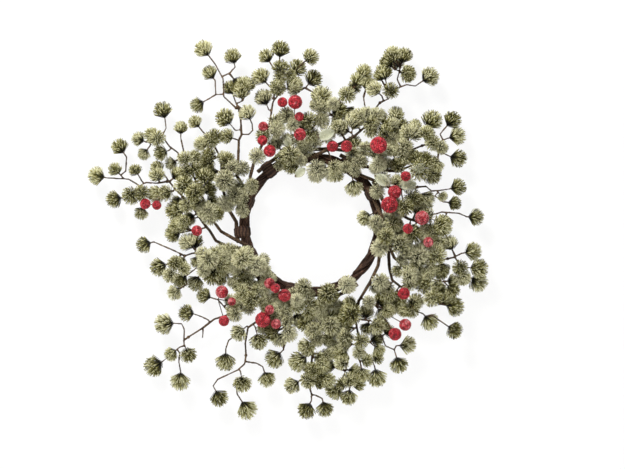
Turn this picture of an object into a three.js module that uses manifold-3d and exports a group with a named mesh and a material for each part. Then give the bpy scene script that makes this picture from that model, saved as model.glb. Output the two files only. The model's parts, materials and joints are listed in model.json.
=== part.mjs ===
// A frosted pine wreath with sugared berries. A ring of twisted vine strands carries
// branches bound on with paper tape, free sprigs on wired twigs and wired berry picks.
// Millimetres, +Z up, the front faces -Y. The origin is the hook seat: the inner top of
// the ring, where the nail or hook on the door bears.
import * as THREE from 'three';
import { mergeVertices } from 'three/addons/utils/BufferGeometryUtils.js';
import Module from 'manifold-3d';

const wasm = await Module();
wasm.setup();

// Ring bundle
const RING_RADIUS = 101;
const HOOP_WIRE_RADIUS = 1.5;
const STRAND_RADIUS = 3.25;
const STRAND_COUNT = 4;
const STRAND_TURNS = 5;
const STRAND_ARC = 346;
const STRAND_STEPS = 40;
const STRAND_SIDES = 5;
const STRAND_STAGGER = 77;
const LAY_PLAY = 0.5;
const HOOP_SIDES = 4;
const RING_STEPS = 48;

// Wood
const STEM_BUTT_RADIUS = 3;
const STEM_TIP_RADIUS = 1.9;
const TWIG_ROOT_RADIUS = 1.6;
const TWIG_TIP_RADIUS = 1.2;
const STEM_SIDES = 4;
const TWIG_SIDES = 3;
const BUTT_HALF_ARC = 8;
const HEEL_POINT = 0.3;
const HEEL_STEP = 0.5;
const HEEL_STEPS = 16;

// Needle tufts: length along the tuft for each millimetre of its width
const TUFT_LENGTH_RATIO = 1.0;
const TUFT_SIDES = 6;
const TUFT_ROOT_DEPTH = 4;
const TUFT_CORE = 0.42;
const TUFT_VALLEY = 0.55;
const TUFT_CROWN = 0.92;
const TUFT_SPIKE_WIDTH = 0.88;
const TUFT_REACH = 0.75;
const TUFT_MIDDLE = [0.4, 0.7];

// Berries and their wires
const BERRY_WIRE_RADIUS = 0.9;
const BERRY_WIRE_DEPTH = 3;
const BERRY_WIRE_REACH = 4;
const BERRY_WIRE_LEAN = 0.8;
const LARGE_BERRY_RADIUS = 9.8;

// Tape bindings
const TAPE_LENGTH = 18;
const TAPE_THICKNESS = 1.2;
const TAPE_PLAY = 0.6;
const TAPE_SIDES = 8;
const BACK_FLAT = 0.5;

// Fits
const SEAT = 0.35;
const CUT_GAP = 0.5;
const SMOOTHING = 0.15;
const SAMPLE_STEP = 2;
const BUTT_SAMPLES = 18;
const HEEL_SAMPLES = 3;
const WIRE_SAMPLES = 1;
const WEAVE_REACH = 18;
const WEAVE_SHIFT_COST = 0.05;
const OWN_REACH = 12;
const WEAVE_BLOCKED = 1000;
const BEND_BACK = -5;
const BEND_FORWARD = 30;
const BEND_STEP = 5;
const SWEEP_SIDES = 6;
const ENVELOPE_SIDES = 10;
const RING_STEP = 5;
const NEARLY_ALONG = 0.95;

// Places are read from the front, right and up from the middle of the wreath.
// The middle of the ring sits a little above that.
const RING_RISE = 5;

const LAY_RADIUS = HOOP_WIRE_RADIUS + LAY_PLAY + STRAND_RADIUS;
const BUNDLE_RADIUS = LAY_RADIUS + STRAND_RADIUS;
const BUTT_OFFSET = BUNDLE_RADIUS + SEAT + STEM_BUTT_RADIUS;
const HANG = RING_RADIUS - BUNDLE_RADIUS;
const BACK_PLANE = BUNDLE_RADIUS + TAPE_PLAY + TAPE_THICKNESS - BACK_FLAT;
const FRONT = new THREE.Vector3(0, -1, 0);

const BARK = new THREE.Color(0.16, 0.1, 0.075);
const TWIG = new THREE.Color(0.27, 0.21, 0.16);
const NEEDLE = new THREE.Color(0.33, 0.38, 0.27);
const BERRY = new THREE.Color(0.52, 0.03, 0.04);
const TAPE = new THREE.Color(0.24, 0.16, 0.11);
const STEEL = new THREE.Color(0.55, 0.55, 0.56);

// One needle tuft: its width, how far its middle stands forward, how much it turns to face
// the front (0 along its twig, 1 straight forward) and the twig's way to its middle.
function tuft(width, forward, face, ...way) {
  return { width, forward, face, way };
}

// A bare twig with no tuft on it.
function bare(forward, ...way) {
  return { width: 0, forward, face: 0, way };
}

// Branches: the side of the ring their butt is bound to, the stem's way from the end of the
// butt as [right, up, forward], their tufts and their free sprig.
const BRANCHES = [
  {
    name: 'upper_left',
    side: 'outer',
    stem: [
      [-100, 58],
      [-112, 78, 3],
      [-110, 103, 6],
      [-109, 131, 8],
      [-105, 140, 9],
      [-106, 160, 10],
      [-109, 176, 10],
    ],
    tufts: [
      tuft(24, 12, 0.1, [-113, 186], [-121, 209]),
      tuft(26, 13, 0.1, [-103, 190], [-101, 214]),
      tuft(26, 14, 0, [-94, 140], [-88, 146], [-89, 156], [-96, 171]),
      tuft(30, 14, 0.2, [-114, 146], [-129, 164]),
      tuft(24, 16, 0.2, [-114, 133], [-126, 137]),
    ],
    sprig: [
      tuft(28, 14, 0, [-118, 184], [-131, 196], [-132, 222], [-143, 243], [-160, 265]),
      tuft(26, 20, 0.1, [-122, 231], [-114, 240], [-118, 255]),
      tuft(24, 16, 0, [-143, 199], [-144, 220], [-152, 231]),
      tuft(24, 14, 0, [-155, 192], [-170, 184]),
    ],
  },
  {
    name: 'top_left',
    side: 'front',
    stem: [
      [-87, 55],
      [-91, 76, 14],
      [-86, 95, 15],
      [-77, 116, 16],
      [-65, 140, 17],
      [-60, 167, 16],
      [-57, 188, 14],
    ],
    tufts: [
      tuft(28, 14, 0.2, [-63, 176], [-71, 194]),
      tuft(28, 16, 0.1, [-46, 202], [-26, 214]),
      tuft(26, 30, 0.4, [-58, 140], [-51, 148]),
      tuft(26, 30, 0.6, [-82, 100], [-80, 106]),
      tuft(28, 12, 0, [-30, 222], [-21, 239]),
      tuft(26, 14, 0, [-14, 244], [-1, 253]),
      tuft(28, 18, 0, [-18, 203], [-8, 210], [3, 223]),
    ],
    sprig: [
      tuft(28, 14, 0, [-52, 215], [-48, 240], [-46, 266]),
      tuft(24, 12, 0, [-56, 238], [-67, 256]),
      tuft(28, 14, 0.1, [-61, 210], [-75, 225]),
      tuft(26, 26, 0.4, [-50, 226], [-45, 237]),
    ],
  },
  {
    name: 'top',
    side: 'outer',
    stem: [[-56, 103], [-41, 119, 5], [-16, 135, 10], [4, 152, 12], [13, 175, 12]],
    tufts: [
      tuft(30, 32, 0.7, [-30, 114], [-32, 108]),
      tuft(24, 18, 0.2, [-34, 118], [-35, 131]),
      bare(14, [-16, 138], [-27, 154]),
      tuft(26, 30, 0.5, [0, 150], [-4, 160]),
      tuft(32, 14, 0, [14, 182], [15, 197]),
      tuft(28, 12, 0, [22, 166], [41, 175]),
      tuft(26, 28, 0.5, [8, 140], [23, 139]),
      tuft(24, 14, 0, [24, 178], [44, 194], [60, 204], [69, 221]),
    ],
  },
  {
    name: 'top_right',
    side: 'front',
    stem: [
      [0, 106],
      [24, 117, 14],
      [45, 127, 14],
      [64, 137, 14],
      [79, 150, 14],
      [88, 168, 13],
      [102, 187, 12],
    ],
    tufts: [
      tuft(30, 28, 0.6, [10, 110], [7, 87]),
      tuft(24, 18, 0, [26, 112], [37, 80]),
      tuft(28, 16, 0, [50, 104], [60, 82], [63, 60]),
      tuft(30, 20, 0.2, [60, 142], [64, 160]),
      tuft(24, 24, 0.3, [86, 158], [97, 168]),
      tuft(18, 14, 0, [80, 180], [78, 196], [84, 219]),
    ],
    sprig: [
      tuft(30, 14, 0, [115, 193], [126, 208], [142, 214], [155, 212], [176, 226]),
      tuft(26, 14, 0, [128, 222], [133, 240], [138, 257]),
      tuft(26, 16, 0, [126, 236], [119, 256]),
      tuft(28, 16, 0.1, [114, 206], [108, 232]),
      tuft(26, 14, 0.1, [105, 197], [94, 207]),
    ],
  },
  {
    name: 'right_top',
    side: 'outer',
    stem: [
      [0, 118],
      [28, 119, 2],
      [60, 115, 4],
      [95, 109, 8],
      [122, 110, 10],
      [150, 117, 12],
      [165, 123, 12],
    ],
    tufts: [
      tuft(26, 18, 0.2, [108, 125], [114, 153]),
      tuft(26, 12, 0.1, [120, 134], [126, 170]),
      tuft(30, 22, 0.3, [146, 124], [152, 142]),
      tuft(32, 12, 0.1, [162, 136], [180, 161]),
      tuft(26, 32, 0.6, [131, 114], [137, 121]),
      tuft(26, 32, 0.6, [92, 104], [99, 94]),
      tuft(24, 30, 0.6, [67, 108], [71, 98]),
    ],
    sprig: [
      tuft(28, 14, 0, [178, 127], [190, 128], [203, 134], [217, 137]),
      tuft(28, 12, 0, [192, 140], [200, 150], [210, 161]),
      tuft(22, 24, 0.4, [188, 124], [193, 120]),
      tuft(28, 14, 0, [190, 115], [206, 107], [218, 104]),
    ],
  },
  {
    name: 'right_upper',
    side: 'outer',
    stem: [[70, 94], [92, 91, 4], [112, 86, 7], [130, 85, 9], [148, 93, 10], [158, 96, 10]],
    tufts: [
      tuft(24, 14, 0, [164, 96], [180, 97]),
      tuft(34, 32, 0.6, [154, 92], [161, 87]),
      tuft(28, 12, 0.1, [164, 90], [181, 79]),
      tuft(26, 28, 0.6, [106, 86], [107, 72]),
      tuft(24, 28, 0.5, [136, 82], [144, 66]),
    ],
  },
  {
    name: 'right_inner',
    side: 'front',
    stem: [[65, 82], [90, 72, 14], [115, 61, 13], [140, 58, 12], [158, 61, 12]],
    tufts: [
      tuft(30, 32, 0.5, [142, 54], [150, 44]),
      tuft(30, 16, 0.1, [156, 54], [170, 42]),
      tuft(26, 24, 0.4, [134, 50], [138, 30]),
      tuft(24, 30, 0.6, [100, 64], [98, 54]),
    ],
    sprig: [
      tuft(26, 14, 0, [171, 62], [179, 55], [192, 56], [205, 58], [218, 61]),
      tuft(16, 20, 0.2, [188, 54], [195, 47]),
      tuft(22, 12, 0, [184, 48], [196, 39], [213, 37]),
    ],
  },
  {
    name: 'right',
    side: 'outer',
    stem: [[107, 42], [123, 27, 4], [145, 14, 8], [165, 8, 10], [176, 4, 10]],
    tufts: [
      tuft(28, 28, 0.5, [119, 18], [122, 6]),
      tuft(34, 14, 0.1, [182, 3], [194, 3]),
      tuft(30, 26, 0.4, [148, 8], [151, -9]),
      tuft(26, 14, 0, [180, 19], [195, 24], [221, 22], [232, 17], [245, 16]),
      tuft(22, 12, 0, [176, -4], [186, -14], [195, -24]),
    ],
  },
  {
    name: 'right_lower',
    side: 'front',
    stem: [
      [96, 36],
      [104, 18, 21],
      [108, -2, 22],
      [114, -24, 21],
      [123, -44, 18],
      [138, -58, 15],
      [160, -56, 13],
      [185, -50, 12],
      [203, -46, 12],
    ],
    tufts: [
      tuft(24, 22, 0, [96, 24], [79, 15]),
      tuft(26, 38, 0.7, [109, -8], [110, -12]),
      tuft(28, 36, 0.6, [110, -24], [101, -30]),
      tuft(30, 28, 0.5, [120, -36], [131, -25]),
      tuft(34, 30, 0.5, [150, -54], [158, -41]),
      tuft(30, 28, 0.4, [178, -52], [186, -40]),
      tuft(26, 14, 0.1, [180, -54], [192, -66]),
    ],
    sprig: [
      tuft(28, 14, 0, [212, -44], [224, -38], [240, -35]),
      tuft(30, 22, 0.2, [220, -54], [232, -59], [248, -60]),
      tuft(30, 12, 0, [224, -66], [249, -81]),
      tuft(24, 14, 0.1, [215, -58], [226, -74]),
    ],
  },
  {
    name: 'right_low',
    side: 'outer',
    stem: [
      [112, -11],
      [116, -40, 2],
      [117, -60, 5],
      [121, -78, 8],
      [134, -88, 9],
      [150, -85, 10],
      [166, -80, 10],
    ],
    tufts: [
      tuft(30, 30, 0.4, [138, -82], [146, -70]),
      tuft(28, 20, 0.2, [119, -84], [114, -98]),
      tuft(28, 26, 0.3, [127, -94], [130, -112]),
      tuft(30, 12, 0, [176, -82], [190, -95]),
      tuft(24, 16, 0, [178, -76], [197, -80], [209, -92]),
      tuft(30, 14, 0, [170, -98], [192, -114], [213, -117]),
    ],
    sprig: [
      tuft(24, 20, 0.2, [145, -98], [152, -112]),
      tuft(28, 12, 0, [150, -118], [155, -124], [167, -128], [177, -140]),
      tuft(26, 14, 0, [180, -130], [190, -137], [203, -146], [212, -152]),
    ],
  },
  {
    name: 'bottom_right',
    side: 'front',
    stem: [
      [99, -12],
      [102, -34, 13],
      [99, -56, 13],
      [87, -81, 13],
      [70, -109, 12],
      [66, -140, 10],
      [70, -165, 9],
      [66, -188, 9],
    ],
    tufts: [
      tuft(28, 28, 0.4, [95, -68], [102, -80]),
      tuft(34, 32, 0.6, [67, -122], [58, -128]),
      tuft(28, 14, 0.1, [64, -132], [46, -136]),
      tuft(24, 12, 0, [82, -110], [95, -116], [105, -128]),
      tuft(28, 24, 0.3, [64, -150], [50, -162]),
      tuft(20, 12, 0.1, [86, -170], [100, -182]),
      tuft(30, 12, 0, [78, -184], [90, -197], [94, -208], [97, -223]),
      tuft(26, 16, 0.2, [60, -174], [44, -189]),
      tuft(24, 14, 0, [72, -200], [76, -218]),
      tuft(24, 12, 0, [55, -195], [49, -218], [36, -246]),
      tuft(26, 12, 0, [57, -236], [55, -252]),
    ],
    sprig: [
      tuft(26, 22, 0.3, [88, -138], [97, -146]),
      tuft(28, 12, 0, [98, -150], [106, -166], [110, -176], [123, -182], [130, -204]),
      tuft(28, 14, 0, [126, -176], [142, -174]),
    ],
  },
  {
    name: 'bottom',
    side: 'outer',
    stem: [
      [42, -100],
      [27, -118, 3],
      [17, -136, 6],
      [8, -160, 8],
      [2, -185, 9],
      [-1, -212, 9],
      [-3, -238, 9],
    ],
    tufts: [
      tuft(28, 28, 0.4, [22, -132], [29, -146]),
      tuft(26, 28, 0.5, [12, -146], [3, -152]),
      tuft(28, 14, 0.1, [5, -166], [-7, -177]),
      tuft(32, 14, 0.1, [0, -188], [-19, -200]),
      tuft(26, 20, 0.2, [2, -190], [15, -204]),
      tuft(26, 12, 0, [4, -218], [24, -228]),
      tuft(26, 12, 0, [-8, -222], [-28, -235]),
    ],
    sprig: [
      tuft(28, 14, 0, [0, -248], [0, -258], [-7, -272]),
      tuft(26, 12, 0, [6, -250], [16, -255], [20, -270]),
    ],
  },
  {
    name: 'bottom_left',
    side: 'front',
    stem: [
      [34, -90],
      [5, -100, 14],
      [-20, -118, 13],
      [-48, -127, 12],
      [-78, -137, 11],
      [-95, -149, 10],
      [-99, -172, 10],
      [-98, -190, 10],
    ],
    tufts: [
      tuft(32, 34, 0.8, [24, -94], [25, -97]),
      tuft(28, 28, 0.6, [34, -90], [53, -84]),
      tuft(26, 28, 0.5, [2, -100], [-12, -87]),
      tuft(22, 34, 0.6, [-16, -115], [-22, -107]),
      tuft(24, 14, 0.1, [-42, -134], [-40, -150], [-48, -166]),
      tuft(30, 12, 0, [-38, -168], [-42, -182], [-55, -195]),
      tuft(26, 16, 0.1, [-96, -146], [-108, -156]),
      tuft(28, 18, 0.2, [-84, -148], [-79, -168]),
      tuft(30, 12, 0, [-112, -160], [-124, -168], [-128, -180], [-129, -199]),
    ],
    sprig: [
      tuft(28, 12, 0, [-100, -203], [-110, -212], [-125, -219], [-140, -226], [-147, -236], [-138, -253]),
      tuft(28, 22, 0.2, [-106, -214], [-103, -231]),
      tuft(32, 12, 0, [-114, -226], [-111, -248], [-97, -271]),
      tuft(26, 14, 0, [-82, -202], [-73, -207], [-67, -225]),
    ],
  },
  {
    name: 'left_low',
    side: 'outer',
    stem: [
      [-48, -97],
      [-78, -110, 3],
      [-105, -124, 6],
      [-128, -131, 8],
      [-145, -136, 9],
      [-165, -151, 9],
      [-184, -163, 9],
    ],
    tufts: [
      tuft(28, 30, 0.6, [-84, -112], [-90, -108]),
      tuft(28, 28, 0.6, [-72, -106], [-78, -92]),
      tuft(26, 14, 0.1, [-98, -116], [-104, -92]),
      tuft(24, 26, 0.5, [-108, -126], [-114, -128]),
      tuft(24, 12, 0, [-125, -124], [-140, -107], [-160, -101]),
      tuft(26, 14, 0, [-155, -137], [-163, -133], [-174, -128], [-186, -127]),
      bare(8, [-162, -152], [-163, -164]),
    ],
    sprig: [
      tuft(32, 14, 0, [-191, -168], [-190, -152], [-194, -143], [-204, -142], [-219, -143]),
      tuft(26, 20, 0.2, [-190, -174], [-184, -188]),
      tuft(22, 14, 0.1, [-197, -178], [-209, -188]),
      tuft(32, 12, 0, [-216, -196], [-235, -206]),
      tuft(30, 12, 0, [-197, -186], [-198, -200], [-195, -214], [-196, -228]),
    ],
  },
  {
    name: 'left_lower',
    side: 'outer',
    stem: [
      [-84, -71],
      [-106, -62, 4],
      [-132, -50, 8],
      [-160, -39, 9],
      [-178, -38, 10],
      [-190, -42, 10],
    ],
    tufts: [
      tuft(34, 32, 0.7, [-110, -58], [-102, -46]),
      tuft(32, 32, 0.7, [-104, -58], [-82, -56]),
      tuft(30, 30, 0.6, [-128, -50], [-124, -37]),
      tuft(32, 32, 0.5, [-150, -44], [-154, -48]),
      tuft(32, 22, 0.3, [-140, -52], [-148, -70]),
      tuft(28, 14, 0.1, [-174, -34], [-185, -22]),
      tuft(26, 14, 0.1, [-158, -52], [-174, -82]),
      tuft(26, 12, 0, [-172, -60], [-196, -78]),
      tuft(24, 14, 0, [-186, -84], [-203, -96]),
    ],
    sprig: [
      tuft(25, 14, 0, [-206, -34], [-222, -27], [-236, -21], [-250, -25]),
      tuft(28, 14, 0, [-202, -52], [-213, -53], [-228, -59]),
      tuft(24, 20, 0.2, [-202, -58], [-210, -70]),
    ],
  },
  {
    name: 'left',
    side: 'outer',
    stem: [
      [-107, -30],
      [-127, -27, 3],
      [-143, -19, 6],
      [-152, -4, 8],
      [-162, 8, 9],
      [-174, 26, 10],
      [-188, 43, 10],
      [-202, 57, 10],
      [-213, 70, 10],
    ],
    tufts: [
      tuft(26, 12, 0, [-160, 0], [-180, -4], [-207, -9]),
      tuft(24, 24, 0.3, [-170, 16], [-191, 9]),
      tuft(30, 14, 0.1, [-182, 32], [-204, 26]),
      tuft(28, 14, 0.1, [-206, 56], [-231, 50]),
      tuft(32, 34, 0.5, [-194, 52], [-188, 64]),
      tuft(22, 12, 0.1, [-217, 76], [-230, 90]),
    ],
    sprig: [
      tuft(28, 14, 0, [-230, 67], [-247, 68], [-256, 63], [-273, 73], [-306, 75], [-320, 78]),
      tuft(22, 20, 0.1, [-280, 74], [-292, 87]),
      tuft(20, 20, 0.2, [-253, 70], [-262, 86]),
      tuft(26, 12, 0, [-262, 54], [-278, 46], [-294, 43]),
      tuft(28, 24, 0.3, [-262, 58], [-268, 48]),
      tuft(22, 12, 0, [-252, 52], [-249, 38], [-254, 23]),
      tuft(26, 12, 0, [-277, 85], [-276, 106], [-286, 121]),
    ],
  },
  {
    name: 'left_middle',
    side: 'front',
    stem: [
      [-96, -26],
      [-114, -17, 14],
      [-135, -5, 18],
      [-149, 14, 20],
      [-160, 40, 21],
      [-170, 66, 20],
      [-183, 90, 17],
      [-194, 106, 15],
    ],
    tufts: [
      tuft(30, 36, 0.6, [-150, 20], [-154, 25]),
      tuft(28, 38, 0.5, [-163, 48], [-172, 52]),
      tuft(32, 36, 0.5, [-166, 62], [-158, 73]),
      tuft(26, 32, 0.4, [-186, 94], [-187, 102]),
      tuft(22, 14, 0, [-191, 116], [-195, 134], [-195, 149]),
    ],
    sprig: [
      tuft(28, 14, 0, [-200, 113], [-212, 122], [-223, 137], [-217, 149], [-218, 162], [-222, 175]),
      tuft(24, 22, 0.2, [-228, 133], [-238, 138]),
      tuft(22, 14, 0, [-236, 130], [-246, 128], [-258, 133]),
      tuft(20, 12, 0, [-240, 124], [-250, 111]),
      tuft(24, 18, 0.2, [-212, 116], [-224, 112]),
    ],
  },
  {
    name: 'left_inner',
    side: 'outer',
    stem: [
      [-113, 9],
      [-122, 24, 4],
      [-130, 44, 6],
      [-134, 70, 7],
      [-135, 95, 8],
      [-140, 112, 8],
      [-148, 128, 8],
      [-158, 140, 8],
    ],
    tufts: [
      tuft(26, 24, 0.4, [-133, 90], [-126, 101]),
      tuft(24, 22, 0.3, [-128, 80], [-116, 90]),
      tuft(32, 32, 0.7, [-132, 68], [-128, 70]),
      tuft(28, 32, 0.7, [-126, 44], [-114, 48]),
      tuft(24, 20, 0.2, [-142, 106], [-153, 110]),
      tuft(26, 14, 0, [-138, 84], [-157, 94]),
      tuft(24, 14, 0.1, [-150, 122], [-165, 126]),
      tuft(22, 12, 0, [-162, 143], [-174, 158]),
    ],
  },
];

// Berry picks: the growth whose wood their wire is twisted on and their berries as
// [right, up, forward, width]. A bedding under 1 sets the wire closer to a flat of the wood.
const PICKS = [
  {
    name: 'top_left',
    on: 'branch_top_left',
    berries: [[-71, 150, 32, 15], [-72, 129, 34, 15], [-61, 113, 36, 18]],
  },
  {
    name: 'top',
    on: 'branch_top',
    berries: [[-43, 186, 30, 15], [-24, 186, 30, 21], [-18, 165, 32, 14], [-17, 138, 38, 18]],
  },
  {
    name: 'right_top',
    on: 'branch_top_right',
    berries: [[31, 121, 34, 17], [52, 121, 34, 17], [99, 122, 36, 25]],
  },
  {
    name: 'right_upper',
    on: 'branch_right_inner',
    berries: [[123, 53, 38, 20], [139, 76, 34, 15], [115, 34, 38, 25]],
  },
  {
    name: 'right',
    on: 'branch_right',
    berries: [[164, 15, 38, 21], [142, -1, 42, 15], [173, -21, 36, 15]],
  },
  { name: 'right_low', on: 'branch_right_low', bedding: 0.75, berries: [[137, -97, 40, 18]] },
  {
    name: 'bottom_right',
    on: 'branch_bottom_right',
    berries: [[138, -143, 26, 18], [123, -157, 26, 19]],
  },
  {
    name: 'bottom_left',
    on: 'branch_bottom_left',
    berries: [[-72, -136, 36, 23], [-62, -121, 36, 14], [-53, -142, 34, 15]],
  },
  {
    name: 'bottom_inner',
    on: 'branch_left_low',
    berries: [[-62, -82, 34, 16], [-53, -89, 38, 14], [-40, -100, 36, 19]],
  },
  {
    name: 'left_low',
    on: 'branch_left_low',
    berries: [[-133, -95, 30, 19], [-118, -109, 34, 12], [-130, -138, 28, 16]],
  },
  { name: 'left_lower', on: 'branch_left', bedding: 0.6, berries: [[-170, -4, 30, 16]] },
  { name: 'left', on: 'sprig_left', berries: [[-247, 36, 26, 16], [-230, 34, 24, 14]] },
];

// Solids

function solidOf(geometry) {
  geometry.deleteAttribute('normal');
  geometry.deleteAttribute('uv');
  const merged = mergeVertices(geometry, 1e-3);
  const corners = merged.index.array;
  const kept = [];
  for (let i = 0; i < corners.length; i += 3) {
    const [a, b, c] = [corners[i], corners[i + 1], corners[i + 2]];
    if (a !== b && b !== c && c !== a) {
      kept.push(a, b, c);
    }
  }
  return new wasm.Manifold(
    new wasm.Mesh({
      numProp: 3,
      vertProperties: new Float32Array(merged.attributes.position.array),
      triVerts: new Uint32Array(kept),
    }),
  );
}

function meshOf(name, solid, colour, roughness, metalness = 0) {
  const data = solid.getMesh();
  const geometry = new THREE.BufferGeometry();
  geometry.setAttribute('position', new THREE.BufferAttribute(new Float32Array(data.vertProperties), 3));
  geometry.setIndex(new THREE.BufferAttribute(new Uint32Array(data.triVerts), 1));
  geometry.computeVertexNormals();
  const material = new THREE.MeshStandardMaterial({ color: colour, roughness, metalness });
  const mesh = new THREE.Mesh(geometry, material);
  mesh.name = name;
  return mesh;
}

function largestBody(solid) {
  const bodies = solid.decompose();
  return bodies.reduce((best, body) => (body.volume() > best.volume() ? body : best));
}

// Two directions across a limb at each of its points, carried along without twist.
function framesAlong(points) {
  const frames = [];
  let across = new THREE.Vector3(0, 1, 0);
  for (let i = 0; i < points.length; i += 1) {
    const before = points[Math.max(0, i - 1)];
    const after = points[Math.min(points.length - 1, i + 1)];
    const along = after.clone().sub(before).normalize();
    if (Math.abs(along.dot(across)) > NEARLY_ALONG) {
      across = new THREE.Vector3(1, 0, 0);
    }
    across = across.clone().addScaledVector(along, -along.dot(across)).normalize();
    frames.push({ across, over: along.clone().cross(across) });
  }
  return frames;
}

// A tapered limb: a cylinder bent along its points. A heel tapers to a point at its start.
function limbSolid(limb, grow = 0) {
  const steps = limb.points.length - 1;
  const geometry = new THREE.CylinderGeometry(limb.tip + grow, limb.root + grow, 1, limb.sides, steps);
  const frames = framesAlong(limb.points);
  const position = geometry.attributes.position;
  for (let i = 0; i < position.count; i += 1) {
    const step = Math.round((position.getY(i) + 0.5) * steps);
    const heel = limb.heel && step === 0 ? HEEL_POINT : 1;
    const place = limb.points[step].clone();
    place.addScaledVector(frames[step].over, position.getX(i) * heel);
    place.addScaledVector(frames[step].across, position.getZ(i) * heel);
    position.setXYZ(i, place.x, place.y, place.z);
  }
  return solidOf(geometry);
}

function makeLimb(points, root, tip, sides, heel = false) {
  return { points, root, tip, sides, heel };
}

// A needle tuft: a bud that opens from a point to a spiked crown.
function tuftSolid(head, grow = 0) {
  const radius = head.width / 2 + grow;
  const length = head.length + 2 * grow;
  const profile = [
    new THREE.Vector2(0, 0),
    new THREE.Vector2(radius, TUFT_VALLEY * length),
    new THREE.Vector2(0, TUFT_CROWN * length),
  ];
  const geometry = new THREE.LatheGeometry(profile, TUFT_SIDES);
  const position = geometry.attributes.position;
  for (let i = 0; i < position.count; i += 1) {
    const spike = Math.floor(i / profile.length) % 2 === 0 && i % profile.length === 1;
    if (spike) {
      position.setXYZ(i, position.getX(i) * TUFT_SPIKE_WIDTH, length, position.getZ(i) * TUFT_SPIKE_WIDTH);
    }
  }
  const turn = new THREE.Quaternion().setFromUnitVectors(new THREE.Vector3(0, 1, 0), head.axis);
  const foot = head.base.clone().addScaledVector(head.axis, -grow);
  geometry.applyMatrix4(new THREE.Matrix4().compose(foot, turn, new THREE.Vector3(1, 1, 1)));
  return solidOf(geometry);
}

function berrySolid(berry, grow = 0) {
  const radius = berry.radius + grow;
  const large = berry.radius > LARGE_BERRY_RADIUS;
  const geometry = large ? new THREE.IcosahedronGeometry(radius, 1) : new THREE.DodecahedronGeometry(radius);
  geometry.translate(berry.centre.x, berry.centre.y, berry.centre.z);
  return solidOf(geometry);
}

// Places

function spot(right, up, forward) {
  return new THREE.Vector3(right, -forward, up - RING_RISE);
}

function outward(clock) {
  const angle = THREE.MathUtils.degToRad(clock);
  return new THREE.Vector3(Math.sin(angle), 0, Math.cos(angle));
}

function clockwise(clock) {
  return outward(clock + 90);
}

function buttPoint(clock, side) {
  const out = side === 'outer' ? BUTT_OFFSET : 0;
  const forward = side === 'front' ? BUTT_OFFSET : 0;
  return outward(clock)
    .multiplyScalar(RING_RADIUS + out)
    .addScaledVector(FRONT, forward);
}

// What is already laid, as straight lengths with a radius: wood and berries, which later
// wood clears, and tufts, which it keeps out of where it can.
const laid = [];

function lay(owner, points, radius, soft = false) {
  for (let i = 1; i < points.length; i += 1) {
    laid.push({ owner, line: new THREE.Line3(points[i - 1], points[i]), radius, soft });
  }
}

// The least clearance of a way from the laid pieces that a test picks.
function clearOf(points, radius, picked) {
  const nearest = new THREE.Vector3();
  let clear = Infinity;
  for (const piece of laid) {
    if (picked(piece)) {
      for (const point of points) {
        piece.line.closestPointToPoint(point, true, nearest);
        clear = Math.min(clear, nearest.distanceTo(point) - radius - piece.radius);
      }
    }
  }
  return clear;
}

// Points every two millimetres or so along a limb.
function samples(limb) {
  const points = [limb.points[0]];
  for (let i = 1; i < limb.points.length; i += 1) {
    const [from, to] = [limb.points[i - 1], limb.points[i]];
    const count = Math.max(1, Math.ceil(from.distanceTo(to) / SAMPLE_STEP));
    for (let step = 1; step <= count; step += 1) {
      points.push(from.clone().lerp(to, step / count));
    }
  }
  return points;
}

// The middle of a tuft as a short length, for keeping tufts apart.
function tuftLength(head) {
  return TUFT_MIDDLE.map((part) => head.base.clone().addScaledVector(head.axis, part * head.length));
}

// The way that clears all laid wood and meets the laid tufts least, shifted in depth by as
// little as it can be. The first samples, where a way rests on what holds it, are skipped.
function weave(owner, radius, skip, wayAt) {
  let best = { cost: Infinity };
  for (let tries = 0; tries < 2 * WEAVE_REACH; tries += 1) {
    const shift = Math.ceil(tries / 2) * (tries % 2 === 0 ? -1 : 1);
    const way = wayAt(shift);
    const points = samples(way.limb).slice(skip);
    const hard = (piece) => !piece.soft && piece.owner !== owner;
    const soft = (piece) => piece.soft && piece.owner !== owner;
    const own = (piece) => piece.owner === owner;
    let clear = clearOf(points, radius, hard);
    if (way.berry) {
      clear = Math.min(clear, clearOf([way.berry.centre], way.berry.radius, hard));
    }
    const free = points.filter((point) => point.distanceTo(way.limb.points[0]) > OWN_REACH);
    let meets = Math.max(0, -clearOf(points, radius, soft));
    meets += Math.max(0, SEAT - clearOf(free, radius, own));
    if (way.berry) {
      meets += Math.max(0, SEAT - clearOf([way.berry.centre], way.berry.radius, own));
    }
    if (way.head) {
      const middle = tuftLength(way.head);
      const lowest = -way.head.middle.y - way.head.width / 2;
      meets += Math.max(0, -clearOf(middle, TUFT_CORE * way.head.width, () => true));
      meets += Math.max(0, -BACK_PLANE - lowest);
    }
    const cost = meets + WEAVE_SHIFT_COST * Math.abs(shift) + (clear > SEAT ? 0 : WEAVE_BLOCKED);
    if (cost < best.cost) {
      best = { cost, way };
    }
  }
  return best.way;
}

// The nearest place on a growth's wood, how far forward it is and its surface radius.
function nearestWood(growth, point) {
  let best = { distance: Infinity };
  for (const limb of growth.limbs) {
    const points = samples(limb);
    points.forEach((at, i) => {
      const distance = Math.hypot(at.x - point.x, at.z - point.z);
      if (distance < best.distance) {
        const atEnd = i === points.length - 1;
        const radius = THREE.MathUtils.lerp(limb.root, limb.tip, i / (points.length - 1));
        best = { distance, at, radius: atEnd ? 0 : radius };
      }
    });
  }
  return best;
}

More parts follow.
